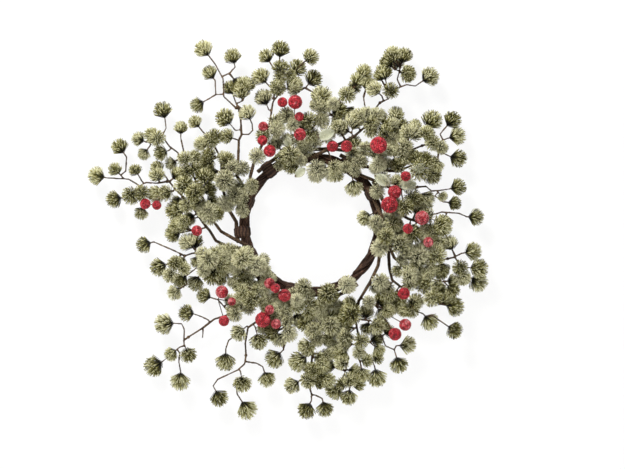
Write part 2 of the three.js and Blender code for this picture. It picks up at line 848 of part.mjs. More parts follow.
// Whether the tapered heel of a twig, as far as its second point, meets the twigs of a branch.
function heelMeets(heel, branch) {
  const points = samples(makeLimb(heel, 0, 0, 0));
  return branch.limbs.slice(1).some((limb) =>
    samples(limb).some((at) =>
      points.some((point, i) => {
        const radius = TWIG_ROOT_RADIUS * THREE.MathUtils.lerp(HEEL_POINT, 1, i / (points.length - 1));
        return at.distanceTo(point) < radius + TWIG_ROOT_RADIUS + SEAT;
      }),
    ),
  );
}

// One twig of a growth, from its wood or from the branch that holds it, with its tuft.
function addTwig(growth, spec, holder) {
  const ends = spec.way.map(([right, up]) => spot(right, up, 0).add(growth.carry));
  const root = nearestWood(holder ? { limbs: [holder.limbs[0]] } : growth, ends[0]);
  const wayAt = (shift) => {
    const flat = [root.at.clone(), ...ends.map((end) => end.clone())];
    const reach = [0];
    for (let i = 1; i < flat.length; i += 1) {
      reach.push(reach[i - 1] + Math.hypot(flat[i].x - flat[i - 1].x, flat[i].z - flat[i - 1].z));
    }
    const depth = -(spec.forward + shift);
    for (let i = 1; i < flat.length; i += 1) {
      flat[i].y = THREE.MathUtils.lerp(root.at.y, depth, reach[i] / reach.at(-1));
    }
    if (holder) {
      const away = flat[1].clone().sub(flat[0]).normalize();
      flat[0].addScaledVector(away, root.radius + SEAT);
      for (let step = 0; step < HEEL_STEPS && heelMeets(flat.slice(0, 2), holder); step += 1) {
        flat[0].addScaledVector(away, HEEL_STEP);
      }
    }
    if (spec.width === 0) {
      return { limb: makeLimb(flat, TWIG_ROOT_RADIUS, TWIG_TIP_RADIUS, TWIG_SIDES, Boolean(holder)) };
    }
    const middle = flat.pop();
    const axis = middle.clone().sub(flat.at(-1)).normalize().lerp(FRONT, spec.face).normalize();
    const length = spec.width * TUFT_LENGTH_RATIO;
    const base = middle.clone().addScaledVector(axis, -length / 2);
    const tip = base.clone().addScaledVector(axis, TUFT_ROOT_DEPTH);
    if (flat.length > 1 && flat.at(-1).distanceTo(tip) < TUFT_ROOT_DEPTH) {
      flat.pop();
    }
    const limb = makeLimb([...flat, tip], TWIG_ROOT_RADIUS, TWIG_TIP_RADIUS, TWIG_SIDES, Boolean(holder));
    return { limb, head: { base, axis, width: spec.width, length, middle } };
  };
  const way = weave(growth.name, TWIG_ROOT_RADIUS, holder ? HEEL_SAMPLES : 0, wayAt);
  growth.limbs.push(way.limb);
  lay(growth.name, samples(way.limb), TWIG_ROOT_RADIUS);
  if (way.head) {
    growth.tufts.push(way.head);
    lay(growth.name, tuftLength(way.head), TUFT_CORE * way.head.width, true);
  }
}

// The butt of a branch, bound along the ring, before its stem leaves.
function addButt(spec) {
  const [right, up] = spec.stem[0];
  const read = spot(right, up, 0);
  const clock = THREE.MathUtils.radToDeg(Math.atan2(read.x, read.z));
  const end = buttPoint(clock, spec.side);
  const carry = outward(clock).multiplyScalar(Math.hypot(end.x, end.z) - Math.hypot(read.x, read.z));
  const butt = [2, 1, 0].map((arcs) => buttPoint(clock - arcs * BUTT_HALF_ARC, spec.side));
  const growth = { name: `branch_${spec.name}`, clock, side: spec.side, butt, carry, limbs: [], tufts: [] };
  lay(growth.name, butt, STEM_BUTT_RADIUS);
  return growth;
}

function addStem(growth, spec) {
  const wayAt = (shift) => {
    const way = spec.stem.slice(1).map(([x, z, forward]) => spot(x, z, forward + shift).add(growth.carry));
    return { limb: makeLimb([...growth.butt, ...way], STEM_BUTT_RADIUS, STEM_TIP_RADIUS, STEM_SIDES) };
  };
  const way = weave(growth.name, STEM_BUTT_RADIUS, BUTT_SAMPLES, wayAt);
  growth.limbs.push(way.limb);
  lay(growth.name, samples(way.limb), STEM_BUTT_RADIUS);
}

// A sprig is hinged where its first twig meets the branch that holds it. Its wire bends
// forward or back, about a line across it in the plane of the wreath.
function addSprig(spec, branch) {
  const growth = { name: `sprig_${spec.name}`, carry: branch.carry, limbs: [], tufts: [] };
  spec.sprig.forEach((twig, i) => addTwig(growth, twig, i === 0 ? branch : undefined));
  const heel = growth.limbs[0].points[0].clone();
  const middle = new THREE.Vector3();
  growth.tufts.forEach((head) => middle.add(head.middle));
  middle.divideScalar(growth.tufts.length);
  const along = middle.sub(heel).setY(0).normalize();
  growth.bend = { at: heel, axis: new THREE.Vector3(0, 1, 0).cross(along).normalize() };
  return growth;
}

function addPick(spec, holder) {
  const pick = { name: `berry_pick_${spec.name}`, limbs: [], berries: [], on: spec.on };
  for (const [right, up, forward, width] of spec.berries) {
    const radius = width / 2;
    const wayAt = (shift) => {
      const centre = spot(right, up, forward + Math.abs(shift)).add(holder.carry);
      const first = pick.limbs.length === 0;
      const root = first ? nearestWood(holder, centre) : { at: pick.limbs[0].points[0], radius: 0 };
      const away = centre.clone().sub(root.at).setY(0).normalize().lerp(FRONT, BERRY_WIRE_LEAN).normalize();
      const seat = (spec.bedding ?? 1) * (root.radius + BERRY_WIRE_RADIUS) + SEAT;
      const start = first ? root.at.clone().addScaledVector(away, seat) : root.at;
      const behind = centre.clone().addScaledVector(FRONT, -radius - BERRY_WIRE_REACH);
      const inside = centre.clone().addScaledVector(FRONT, BERRY_WIRE_DEPTH - radius);
      const limb = makeLimb([start, behind, inside], BERRY_WIRE_RADIUS, BERRY_WIRE_RADIUS, TWIG_SIDES);
      return { limb, berry: { centre, radius } };
    };
    const way = weave(pick.name, BERRY_WIRE_RADIUS, WIRE_SAMPLES, wayAt);
    pick.limbs.push(way.limb);
    lay(pick.name, samples(way.limb), BERRY_WIRE_RADIUS);
    pick.berries.push(way.berry);
    lay(pick.name, [way.berry.centre, way.berry.centre.clone().addScaledVector(FRONT, 0.1)], radius);
  }
  return pick;
}

// Ring

class StrandLay extends THREE.Curve {
  constructor(index) {
    super();
    this.start = index * STRAND_STAGGER;
    this.phase = (index * 360) / STRAND_COUNT;
  }

  getPoint(along, target = new THREE.Vector3()) {
    const clock = this.start + along * STRAND_ARC;
    const roll = THREE.MathUtils.degToRad(this.phase + clock * STRAND_TURNS);
    const radius = RING_RADIUS + LAY_RADIUS * Math.cos(roll);
    return target
      .copy(outward(clock))
      .multiplyScalar(radius)
      .addScaledVector(FRONT, LAY_RADIUS * Math.sin(roll));
  }
}

function polygon(radius, sides) {
  const shape = new THREE.Shape();
  for (let i = 0; i < sides; i += 1) {
    const angle = (i * 2 * Math.PI) / sides;
    const [x, y] = [radius * Math.cos(angle), radius * Math.sin(angle)];
    if (i === 0) {
      shape.moveTo(x, y);
    } else {
      shape.lineTo(x, y);
    }
  }
  shape.closePath();
  return shape;
}

function strandSolid(index) {
  const geometry = new THREE.ExtrudeGeometry(polygon(STRAND_RADIUS, STRAND_SIDES), {
    steps: STRAND_STEPS,
    extrudePath: new StrandLay(index),
  });
  return solidOf(geometry);
}

function hoopSolid() {
  const geometry = new THREE.TorusGeometry(RING_RADIUS, HOOP_WIRE_RADIUS, HOOP_SIDES, RING_STEPS);
  geometry.rotateX(Math.PI / 2);
  return solidOf(geometry);
}

function ringEnvelope(grow) {
  const radius = BUNDLE_RADIUS + grow;
  const geometry = new THREE.TorusGeometry(RING_RADIUS, radius, ENVELOPE_SIDES, RING_STEPS);
  geometry.rotateX(Math.PI / 2);
  return solidOf(geometry);
}

// The outline round a set of circles, as a tape pulled tight around them.
function outlineRound(circles, grow) {
  const points = [];
  for (const { out, forward, radius } of circles) {
    for (let i = 0; i < TAPE_SIDES; i += 1) {
      const angle = ((i + 0.5) * 2 * Math.PI) / TAPE_SIDES;
      const reach = (radius + grow) / Math.cos(Math.PI / TAPE_SIDES);
      points.push(new THREE.Vector2(out + reach * Math.cos(angle), forward + reach * Math.sin(angle)));
    }
  }
  points.sort((p, q) => p.x - q.x || p.y - q.y);
  const half = (list) => {
    const side = [];
    for (const p of list) {
      while (side.length > 1) {
        const [a, b] = [side.at(-2), side.at(-1)];
        if ((b.x - a.x) * (p.y - a.y) - (b.y - a.y) * (p.x - a.x) > 1e-6) {
          break;
        }
        side.pop();
      }
      side.push(p);
    }
    side.pop();
    return side;
  };
  return [...half(points), ...half(points.reverse())];
}

function tapeSolid(tape, hollow, grow) {
  const circles = [{ out: 0, forward: 0, radius: BUNDLE_RADIUS }];
  if (tape.sides.includes('outer')) {
    circles.push({ out: BUTT_OFFSET, forward: 0, radius: STEM_BUTT_RADIUS });
  }
  if (tape.sides.includes('front')) {
    circles.push({ out: 0, forward: BUTT_OFFSET, radius: STEM_BUTT_RADIUS });
  }
  const shape = new THREE.Shape(outlineRound(circles, TAPE_PLAY + TAPE_THICKNESS + grow));
  if (hollow) {
    shape.holes.push(new THREE.Path(outlineRound(circles, TAPE_PLAY)));
  }
  const depth = TAPE_LENGTH + 2 * grow;
  const geometry = new THREE.ExtrudeGeometry(shape, { depth, steps: 1, bevelEnabled: false });
  geometry.translate(0, 0, -depth / 2);
  const basis = new THREE.Matrix4().makeBasis(outward(tape.clock), FRONT, clockwise(tape.clock));
  basis.setPosition(outward(tape.clock).multiplyScalar(RING_RADIUS));
  geometry.applyMatrix4(basis);
  return solidOf(geometry);
}

function behindSolid() {
  const size = 8 * RING_RADIUS;
  const geometry = new THREE.BoxGeometry(size, size, size);
  geometry.translate(0, BACK_PLANE + size / 2, 0);
  return solidOf(geometry);
}

// Growing the wreath

const ringLoop = [];
for (let clock = 0; clock <= 360; clock += RING_STEP) {
  ringLoop.push(outward(clock).multiplyScalar(RING_RADIUS));
}
lay('ring', ringLoop, BUNDLE_RADIUS);

const branches = new Map();
for (const spec of BRANCHES) {
  branches.set(spec.name, addButt(spec));
}

// One tape binding for the butts that lie side by side at one place on the ring.
const tapes = [];
for (const branch of branches.values()) {
  const clock = branch.clock - BUTT_HALF_ARC;
  const shared = tapes.find((tape) => Math.abs(tape.clock - clock) < BUTT_HALF_ARC / 2);
  if (shared) {
    shared.sides.push(branch.side);
  } else {
    tapes.push({ name: `tape_binding_${tapes.length + 1}`, clock, sides: [branch.side] });
  }
}
for (const tape of tapes) {
  const middle = outward(tape.clock).multiplyScalar(RING_RADIUS);
  const along = clockwise(tape.clock);
  for (const side of tape.sides) {
    const centre = buttPoint(tape.clock, side);
    const ends = [-0.5, 0.5].map((half) => centre.clone().addScaledVector(along, half * TAPE_LENGTH));
    lay(tape.name, ends, STEM_BUTT_RADIUS + TAPE_PLAY + TAPE_THICKNESS);
  }
  const ends = [-0.5, 0.5].map((half) => middle.clone().addScaledVector(along, half * TAPE_LENGTH));
  lay(tape.name, ends, BUNDLE_RADIUS + TAPE_PLAY + TAPE_THICKNESS);
}

for (const spec of BRANCHES) {
  addStem(branches.get(spec.name), spec);
}
const growths = [];
for (const spec of BRANCHES) {
  const branch = branches.get(spec.name);
  spec.tufts.forEach((twig) => addTwig(branch, twig));
  growths.push(branch);
}
for (const spec of BRANCHES) {
  if (spec.sprig) {
    growths.push(addSprig(spec, branches.get(spec.name)));
  }
}
const picks = PICKS.map((spec) => addPick(spec, growths.find((growth) => growth.name === spec.on)));

// Cutting the tufts clear of everything that is not their own growth

const envelope = ringEnvelope(CUT_GAP);
const tapeBlocks = tapes.map((tape) => tapeSolid(tape, false, CUT_GAP));
const behind = behindSolid();

function bendMatrix(bend, degrees) {
  const turn = new THREE.Matrix4().makeRotationAxis(bend.axis, THREE.MathUtils.degToRad(degrees));
  const there = new THREE.Matrix4().makeTranslation(bend.at.x, bend.at.y, bend.at.z);
  const back = new THREE.Matrix4().makeTranslation(-bend.at.x, -bend.at.y, -bend.at.z);
  return there.multiply(turn).multiply(back);
}

// The straight lengths of a limb as round solids, for sweeping it through a bend.
function spansOf(limb) {
  return limb.points.slice(1).map((point, i) => {
    const span = makeLimb([limb.points[i], point], limb.root, limb.root, SWEEP_SIDES);
    return limbSolid(span, CUT_GAP);
  });
}

// Everything a tuft may meet: a ball around it, its grown solid, the convex parts that it is
// swept by and the bend it moves with.
const obstacles = [];
function addObstacle(owner, ball, solid, parts, bend) {
  obstacles.push({ owner, ball, solid, parts, bend });
}
function addLimbObstacle(owner, limb, bend) {
  const ball = new THREE.Sphere().setFromPoints(samples(limb));
  ball.radius += limb.root + CUT_GAP;
  addObstacle(owner, ball, limbSolid(limb, CUT_GAP), spansOf(limb), bend);
}
function addTuftObstacle(owner, head, bend) {
  const solid = tuftSolid(head, CUT_GAP);
  addObstacle(owner, new THREE.Sphere(head.middle, TUFT_REACH * head.width + CUT_GAP), solid, [solid], bend);
}
function addBerryObstacle(owner, berry, bend) {
  const solid = berrySolid(berry, CUT_GAP);
  addObstacle(owner, new THREE.Sphere(berry.centre, berry.radius + CUT_GAP), solid, [solid], bend);
}
for (const growth of growths) {
  growth.limbs.forEach((limb) => addLimbObstacle(growth.name, limb, growth.bend));
}
for (const pick of picks) {
  const bend = growths.find((growth) => growth.name === pick.on).bend;
  pick.limbs.forEach((limb) => addLimbObstacle(pick.name, limb, bend));
  pick.berries.forEach((berry) => addBerryObstacle(pick.name, berry, bend));
}

// The places of a bend in steps through its range.
function posesOf(bend) {
  const poses = [];
  for (let degrees = BEND_BACK; degrees <= BEND_FORWARD; degrees += BEND_STEP) {
    poses.push(bendMatrix(bend, degrees));
  }
  return poses;
}

// A tuft less all that an obstacle sweeps as it, or the tuft's own growth, bends.
function lessSweep(solid, ball, growth, other) {
  const poses = posesOf(other.bend ?? growth.bend);
  const ways = other.bend ? poses : poses.map((pose) => pose.clone().invert());
  const near = ways.map((way) => ball.intersectsSphere(other.ball.clone().applyMatrix4(way)));
  let left = solid;
  for (let i = 1; i < ways.length; i += 1) {
    if (near[i - 1] || near[i]) {
      for (const part of other.parts) {
        const ends = [ways[i - 1], ways[i]].map((way) => part.transform(way.elements));
        left = left.subtract(wasm.Manifold.hull(ends));
      }
    }
  }
  return left;
}

function cutTuft(head, growth) {
  const ball = new THREE.Sphere(head.middle, TUFT_REACH * head.width);
  let solid = tuftSolid(head).subtract(envelope).subtract(behind);
  for (const block of tapeBlocks) {
    solid = solid.subtract(block);
  }
  for (const other of obstacles) {
    if (other.owner !== growth.name) {
      if (other.bend !== growth.bend) {
        solid = lessSweep(solid, ball, growth, other);
      } else if (ball.intersectsSphere(other.ball)) {
        solid = solid.subtract(other.solid);
      }
    }
  }
  return solid;
}

// Free sprigs keep their tufts whole first, and the bound branches give way to them.
const inOrder = [...growths.filter((growth) => growth.bend), ...growths.filter((growth) => !growth.bend)];
for (const growth of inOrder) {
  const heads = growth.tufts.map((head) => cutTuft(head, growth));
  for (const head of growth.tufts) {
    addTuftObstacle(growth.name, head, growth.bend);
  }
  const wood = growth.limbs.map((limb) => limbSolid(limb));
  const grown = wasm.Manifold.union([...wood, ...heads]).subtract(behind);
  growth.solid = largestBody(grown).simplify(SMOOTHING);
}

// The wreath

const wreath = new THREE.Group();
wreath.name = 'berry_wreath';
const ring = new THREE.Group();
ring.name = 'ring';
ring.position.z = -HANG;
wreath.add(ring);

ring.add(meshOf('core_hoop', hoopSolid(), STEEL, 0.4, 1));
for (let i = 0; i < STRAND_COUNT; i += 1) {
  ring.add(meshOf(`vine_strand_${i + 1}`, strandSolid(i), BARK, 0.85));
}
for (const tape of tapes) {
  const solid = tapeSolid(tape, true, 0).subtract(behind);
  ring.add(meshOf(tape.name, solid, TAPE, 0.9));
}
for (const growth of growths) {
  const mesh = meshOf(growth.name, growth.solid, growth.bend ? NEEDLE : TWIG, 0.9);
  if (growth.bend) {
    mesh.userData.bend = growth.bend;
  }
  ring.add(mesh);
}
for (const pick of picks) {
  const wires = pick.limbs.map((limb) => limbSolid(limb));
  const solid = wasm.Manifold.union([...wires, ...pick.berries.map((berry) => berrySolid(berry))]);
  ring.add(meshOf(pick.name, solid, BERRY, 0.5));
}

export default wreath;
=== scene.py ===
"""Looks of a frosted berry wreath: bark, needles, sugared berries and a plain studio.

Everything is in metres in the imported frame's axes: +X to the right seen from the front,
+Y to the back, +Z up, with the hook seat at the origin.
"""

import json
import logging
import math
import random
from dataclasses import dataclass, field
from enum import IntEnum
from typing import Any, Iterator, Optional, Union

import bmesh
import bpy
from bmesh.types import BMesh, BMFace, BMVert
from bpy.types import ColorRampElements, Material, Mesh, Node, NodeSocket, NodeTree, Object
from mathutils import Matrix, Vector, noise
from mathutils.bvhtree import BVHTree
from mathutils.kdtree import KDTree

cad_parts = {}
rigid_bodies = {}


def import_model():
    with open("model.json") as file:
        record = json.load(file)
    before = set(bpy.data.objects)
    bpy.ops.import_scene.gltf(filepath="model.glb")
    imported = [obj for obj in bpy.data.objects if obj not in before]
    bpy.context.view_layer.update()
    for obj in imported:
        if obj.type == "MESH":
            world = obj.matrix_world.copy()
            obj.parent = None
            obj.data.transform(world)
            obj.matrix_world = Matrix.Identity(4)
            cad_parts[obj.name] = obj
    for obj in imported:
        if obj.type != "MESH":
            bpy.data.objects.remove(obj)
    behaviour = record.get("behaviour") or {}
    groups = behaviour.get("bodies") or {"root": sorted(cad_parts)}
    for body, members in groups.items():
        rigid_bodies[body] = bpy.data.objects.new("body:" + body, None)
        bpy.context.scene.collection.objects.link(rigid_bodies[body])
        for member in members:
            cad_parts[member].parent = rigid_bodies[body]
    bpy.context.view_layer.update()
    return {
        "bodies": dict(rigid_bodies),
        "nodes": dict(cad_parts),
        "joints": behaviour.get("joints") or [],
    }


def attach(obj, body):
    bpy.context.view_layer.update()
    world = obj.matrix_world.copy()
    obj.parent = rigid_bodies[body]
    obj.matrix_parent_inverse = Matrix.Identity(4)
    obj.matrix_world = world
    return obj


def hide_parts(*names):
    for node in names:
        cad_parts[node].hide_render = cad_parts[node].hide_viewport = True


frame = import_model()
LOG = logging.getLogger("berry_wreath")

MM = 0.001
GOLDEN_TURN = math.pi * (3.0 - math.sqrt(5.0))
FRONT = Vector((0.0, -1.0, 0.0))
RING_BODY = "wreath"
VINE_STRANDS = 4
TAPE_BINDINGS = 11
RING_CENTRE = Vector((0.0, 0.0, -0.0925))
# heights read from the picture start this far below the hook seat
READING_DROP = 0.0975
# triangles of a CAD node closer than this are joined
WELD = 0.01 * MM
# a loose bit of a remeshed stem is dropped below this many vertices, and bridged above
CRUMB_VERTS = 150
BRIDGE_BED = 1.5 * MM
ROD_SIDES = 8

Span = tuple[float, float]
Colour = tuple[float, float, float, float]
Stops = list[tuple[float, Colour]]
Number = Union[float, "Signal"]


class Slot(IntEnum):
    """Places of the finishes on a growth."""

    BARK = 0
    NEEDLES = 1
    FROST = 2


class PickSlot(IntEnum):
    """Places of the finishes on a berry pick."""

    WIRE = 0
    BERRY = 1


class LeafSlot(IntEnum):
    """Places of the finishes on a leaf."""

    BLADE = 0
    STALK = 1


class Signal:
    """A shader value that Python's operators combine through Math nodes."""

    def __init__(self, shader: "Shader", socket: NodeSocket) -> None:
        """Keep the socket that gives the value and the shader that holds it."""
        self.shader = shader
        self.socket = socket

    def __add__(self, other: Number) -> "Signal":
        """Sum of two values."""
        return self.shader.math("ADD", self, other)

    __radd__ = __add__

    def __sub__(self, other: Number) -> "Signal":
        """This value less another."""
        return self.shader.math("SUBTRACT", self, other)

    def __rsub__(self, other: Number) -> "Signal":
        """Another value less this one."""
        return self.shader.math("SUBTRACT", other, self)

    def __mul__(self, other: Number) -> "Signal":
        """Product of two values."""
        return self.shader.math("MULTIPLY", self, other)

    __rmul__ = __mul__

    def swing(self, weight: float) -> "Signal":
        """How far this value swings from one half, times a weight."""
        return (self - 0.5) * weight

    def held(self) -> "Signal":
        """This value held between nought and one."""
        return self.shader.math("ADD", self, 0.0, clamp=True)


class Shader:
    """A node tree, of a finish or of the sky."""

    def __init__(self, tree: NodeTree) -> None:
        """Keep the tree that the nodes go into."""
        self.tree = tree

    def node(
        self,
        kind: str,
        settings: Optional[dict[str, Any]] = None,
        inputs: Optional[dict[Union[int, str], Any]] = None,
    ) -> Node:
        """Add any node.

        Args:
            kind: The node's type name.
            settings: Its properties, and the stops of a colour ramp.
            inputs: Values, signals or sockets for its inputs.

        Returns:
            The node.
        """
        made = self.tree.nodes.new(kind)
        for key, value in (settings or {}).items():
            if key == "stops":
                self.lay_stops(made.color_ramp.elements, value)
            else:
                setattr(made, key, value)
        for key, value in (inputs or {}).items():
            self.feed(made.inputs[key], value)
        return made

    @staticmethod
    def lay_stops(steps: ColorRampElements, stops: Stops) -> None:
        """Set the stops of a colour ramp.

        Args:
            steps: The ramp's own stops.
            stops: Places and colours, in rising order.
        """
        while len(steps) < len(stops):
            steps.new(0.5)
        for step, (where, colour) in zip(steps, stops):
            step.position = where
            step.color = colour

    def feed(self, socket: NodeSocket, value: Any) -> None:
        """Link or set one input.

        Args:
            socket: The input.
            value: A signal, a socket or a plain value.
        """
        if isinstance(value, Signal):
            self.tree.links.new(value.socket, socket)
        elif isinstance(value, NodeSocket):
            self.tree.links.new(value, socket)
        else:
            socket.default_value = value

    def math(self, operation: str, first: Number, second: Number, clamp: bool = False) -> Signal:
        """Combine two values in a Math node.

        Args:
            operation: The node's operation.
            first: The first value.
            second: The second value.
            clamp: Whether the result is held between nought and one.

        Returns:
            The result.
        """
        made = self.node(
            "ShaderNodeMath", {"operation": operation, "use_clamp": clamp}, {0: first, 1: second}
        )
        return Signal(self, made.outputs[0])


class SurfaceShader(Shader):
    """The node tree of one finish."""

    def __init__(self, name: str) -> None:
        """Start a material with an empty Principled surface.

        Args:
            name: The material's name.
        """
        self.material = bpy.data.materials.new(name)
        self.material.use_nodes = True
        super().__init__(self.material.node_tree)
        self.surface = self.tree.nodes["Principled BSDF"]

    def attribute(self, name: str) -> Signal:
        """A number kept on the mesh's vertices."""
        return Signal(self, self.node("ShaderNodeAttribute", {"attribute_name": name}).outputs["Fac"])

    def place(self) -> NodeSocket:
        """Object coordinates."""
        return self.node("ShaderNodeTexCoord").outputs["Object"]

    def grain(self, scale: float, detail: float) -> Signal:
        """Cloudy noise between nought and one.

        Args:
            scale: Grains per metre.
            detail: Octaves of finer noise.

        Returns:
            The noise.
        """
        made = self.node(
            "ShaderNodeTexNoise",
            None,
            {"Vector": self.place(), "Scale": scale, "Detail": detail, "Roughness": 0.6},
        )
        return Signal(self, made.outputs["Fac"])

    def cells(self, scale: float) -> Signal:
        """Distance to the nearest crystal's middle, in crystal widths.

        Args:
            scale: Crystals per metre.

        Returns:
            The distance.
        """
        made = self.node("ShaderNodeTexVoronoi", None, {"Vector": self.place(), "Scale": scale})
        return Signal(self, made.outputs["Distance"])

    def blend(self, share: Number, first: Any, second: Any) -> NodeSocket:
        """Mix two colours.

        Args:
            share: Share of the second colour.
            first: The first colour.
            second: The second colour.

        Returns:
            The mixed colour.
        """
        made = self.node("ShaderNodeMix", {"data_type": "RGBA"}, {0: share, 6: first, 7: second})
        return made.outputs[2]

    def ramp(self, share: Signal, stops: Stops) -> NodeSocket:
        """Colours laid along a value.

        Args:
            share: The value.
            stops: Places and colours, in rising order.

        Returns:
            The colour.
        """
        return self.node("ShaderNodeValToRGB", {"stops": stops}, {0: share}).outputs[0]

    def bump(self, height: Signal, strength: float, depth: float) -> None:
        """Raise the surface's shading by a height.

        Args:
            height: The height, nought to one.
            strength: Share of the effect.
            depth: Height of one in metres.
        """
        made = self.node(
            "ShaderNodeBump", None, {"Height": height, "Strength": strength, "Distance": depth}
        )
        self.feed(self.surface.inputs["Normal"], made.outputs[0])

    def dress(self, **inputs: Any) -> Material:
        """Set the surface's inputs.

        Args:
            inputs: Values by socket name, with underscores for spaces.

        Returns:
            The finished material.
        """
        for key, value in inputs.items():
            self.feed(self.surface.inputs[key.replace("_", " ")], value)
        return self.material


@dataclass(frozen=True)
class NeedleFinish:
    """Plastic needles, with painted shade darkening their lower part, sage in the middle and frosted at the
    tip.
    """

    # foot and stem are painted shade: near black over the lower part of each needle and the tuft's core,
    # where shade falls inside the tuft
    foot: Colour = (0.009, 0.008, 0.003, 1.0)
    stem: Colour = (0.078, 0.072, 0.020, 1.0)
    sage: Colour = (0.295, 0.276, 0.095, 1.0)
    tip: Colour = (0.640, 0.625, 0.380, 1.0)
    flock: Colour = (0.730, 0.710, 0.500, 1.0)
    mottle_grain: float = 420.0
    grit_grain: float = 2600.0
    mottle_swing: float = 0.3
    tone_swing: float = 0.62
    darker: float = 0.06
    snow_frost: float = 1.4
    snow_along: float = 0.9
    snow_tone: float = 0.5
    snow_mottle: float = 1.5
    snow_line: float = 1.2
    dull: float = 0.78
    dull_snow: float = 0.12

    def material(self) -> Material:
        """Make the finish.

        Returns:
            The material.
        """
        shader = SurfaceShader("frosted_needles")
        along = shader.attribute("along")
        frost = shader.attribute("frost")
        tone = shader.attribute("tone")
        mottle = shader.grain(self.mottle_grain, detail=3.0)
        # along puts painted shade on the lower needle and the core; darker moves every needle a little
        # further into it
        light = along + mottle.swing(self.mottle_swing) + tone.swing(self.tone_swing) - self.darker
        body = shader.ramp(
            light.held(), [(0.28, self.foot), (0.62, self.stem), (0.86, self.sage), (1.0, self.tip)]
        )
        snow = frost * self.snow_frost + along * self.snow_along + tone.swing(self.snow_tone)
        snow = (snow + mottle.swing(self.snow_mottle) - self.snow_line).held()
        colour = shader.blend(snow, body, self.flock)
        shader.bump(shader.grain(self.grit_grain, detail=2.0), strength=0.35, depth=0.3 * MM)
        shader.dress(Specular_IOR_Level=0.18)
        return shader.dress(Base_Color=colour, Roughness=self.dull + self.dull_snow * snow)


@dataclass(frozen=True)
class BarkFinish:
    """Dry twig bark with pale streaks and dark cracks."""

    crack: Colour = (0.008, 0.005, 0.003, 1.0)
    bark: Colour = (0.042, 0.024, 0.013, 1.0)
    streak: Colour = (0.210, 0.135, 0.075, 1.0)
    coarse_grain: float = 95.0
    fine_grain: float = 640.0
    rough_grain: float = 1900.0
    coarse_share: float = 0.55
    fine_share: float = 0.75
    rough_swing: float = 0.3
    darker: float = 0.12
    fine_relief: float = 0.7
    rough_relief: float = 0.3
    dull: float = 0.82
    shine: float = 0.2

    def material(self) -> Material:
        """Make the finish.

        Returns:
            The material.
        """
        shader = SurfaceShader("twig_bark")
        coarse = shader.grain(self.coarse_grain, detail=4.0)
        fine = shader.grain(self.fine_grain, detail=4.0)
        rough = shader.grain(self.rough_grain, detail=2.0)
        light = coarse * self.coarse_share + fine * self.fine_share + rough.swing(self.rough_swing)
        colour = shader.ramp(
            (light - self.darker).held(), [(0.25, self.crack), (0.5, self.bark), (0.75, self.streak)]
        )
        relief = fine * self.fine_relief + rough * self.rough_relief
        shader.bump(relief, strength=0.7, depth=0.6 * MM)
        shader.dress(Specular_IOR_Level=0.22)
        return shader.dress(Base_Color=colour, Roughness=self.dull - self.shine * fine)


@dataclass(frozen=True)
class VineFinish:
    """Grooved vine bark: painted shade in the grooves, ridges lighter from bark wear and a painted
    highlight.
    """

    # the groove colour is painted shade in the sunk grooves; the two lightest colours on the raised ridges
    # are partly bark wear and partly a painted highlight
    groove: Colour = (0.007, 0.004, 0.003, 1.0)
    bark: Colour = (0.030, 0.014, 0.0085, 1.0)
    ridge: Colour = (0.118, 0.058, 0.034, 1.0)
    wear_and_highlight: Colour = (0.330, 0.220, 0.140, 1.0)
    patch_grain: float = 60.0
    fibre_grain: float = 900.0
    ridge_share: float = 0.62
    patch_swing: float = 0.7
    fibre_swing: float = 0.55
    lighter: float = 0.12
    dull: float = 0.86
    shine: float = 0.25

    def material(self) -> Material:
        """Make the finish.

        Returns:
            The material.
        """
        shader = SurfaceShader("vine_bark")
        ridge = shader.attribute("ridge")
        patch = shader.grain(self.patch_grain, detail=4.0)
        fibre = shader.grain(self.fibre_grain, detail=3.0)
        light = ridge * self.ridge_share + patch.swing(self.patch_swing) + fibre.swing(self.fibre_swing)
        colour = shader.ramp(
            (light + self.lighter).held(),
            [(0.05, self.groove), (0.35, self.bark), (0.72, self.ridge), (1.0, self.wear_and_highlight)],
        )
        shader.bump(fibre, strength=0.6, depth=0.7 * MM)
        shader.dress(Specular_IOR_Level=0.22)
        return shader.dress(Base_Color=colour, Roughness=self.dull - self.shine * ridge)


@dataclass(frozen=True)
class TapeFinish:
    """Brown crepe paper tape, with painted shade in its creases and a painted highlight on its raised laps
    and crease tops.
    """

    # fold is painted shade in the sunk creases; edge is a painted highlight on the raised laps and crease
    # tops
    fold: Colour = (0.007, 0.004, 0.003, 1.0)
    paper: Colour = (0.038, 0.019, 0.012, 1.0)
    edge: Colour = (0.150, 0.082, 0.050, 1.0)
    crinkle_grain: float = 700.0
    crease_share: float = 0.55
    crinkle_share: float = 0.6
    darker: float = 0.1
    dull: float = 0.62
    dull_crinkle: float = 0.25

    def material(self) -> Material:
        """Make the finish.

        Returns:
            The material.
        """
        shader = SurfaceShader("stem_tape")
        crease = shader.attribute("ridge")
        crinkle = shader.grain(self.crinkle_grain, detail=5.0)
        light = (crease * self.crease_share + crinkle * self.crinkle_share - self.darker).held()
        colour = shader.ramp(light, [(0.15, self.fold), (0.5, self.paper), (0.95, self.edge)])
        shader.bump(crinkle, strength=0.55, depth=0.5 * MM)
        shader.dress(Specular_IOR_Level=0.22)
        return shader.dress(Base_Color=colour, Roughness=self.dull + self.dull_crinkle * crinkle)


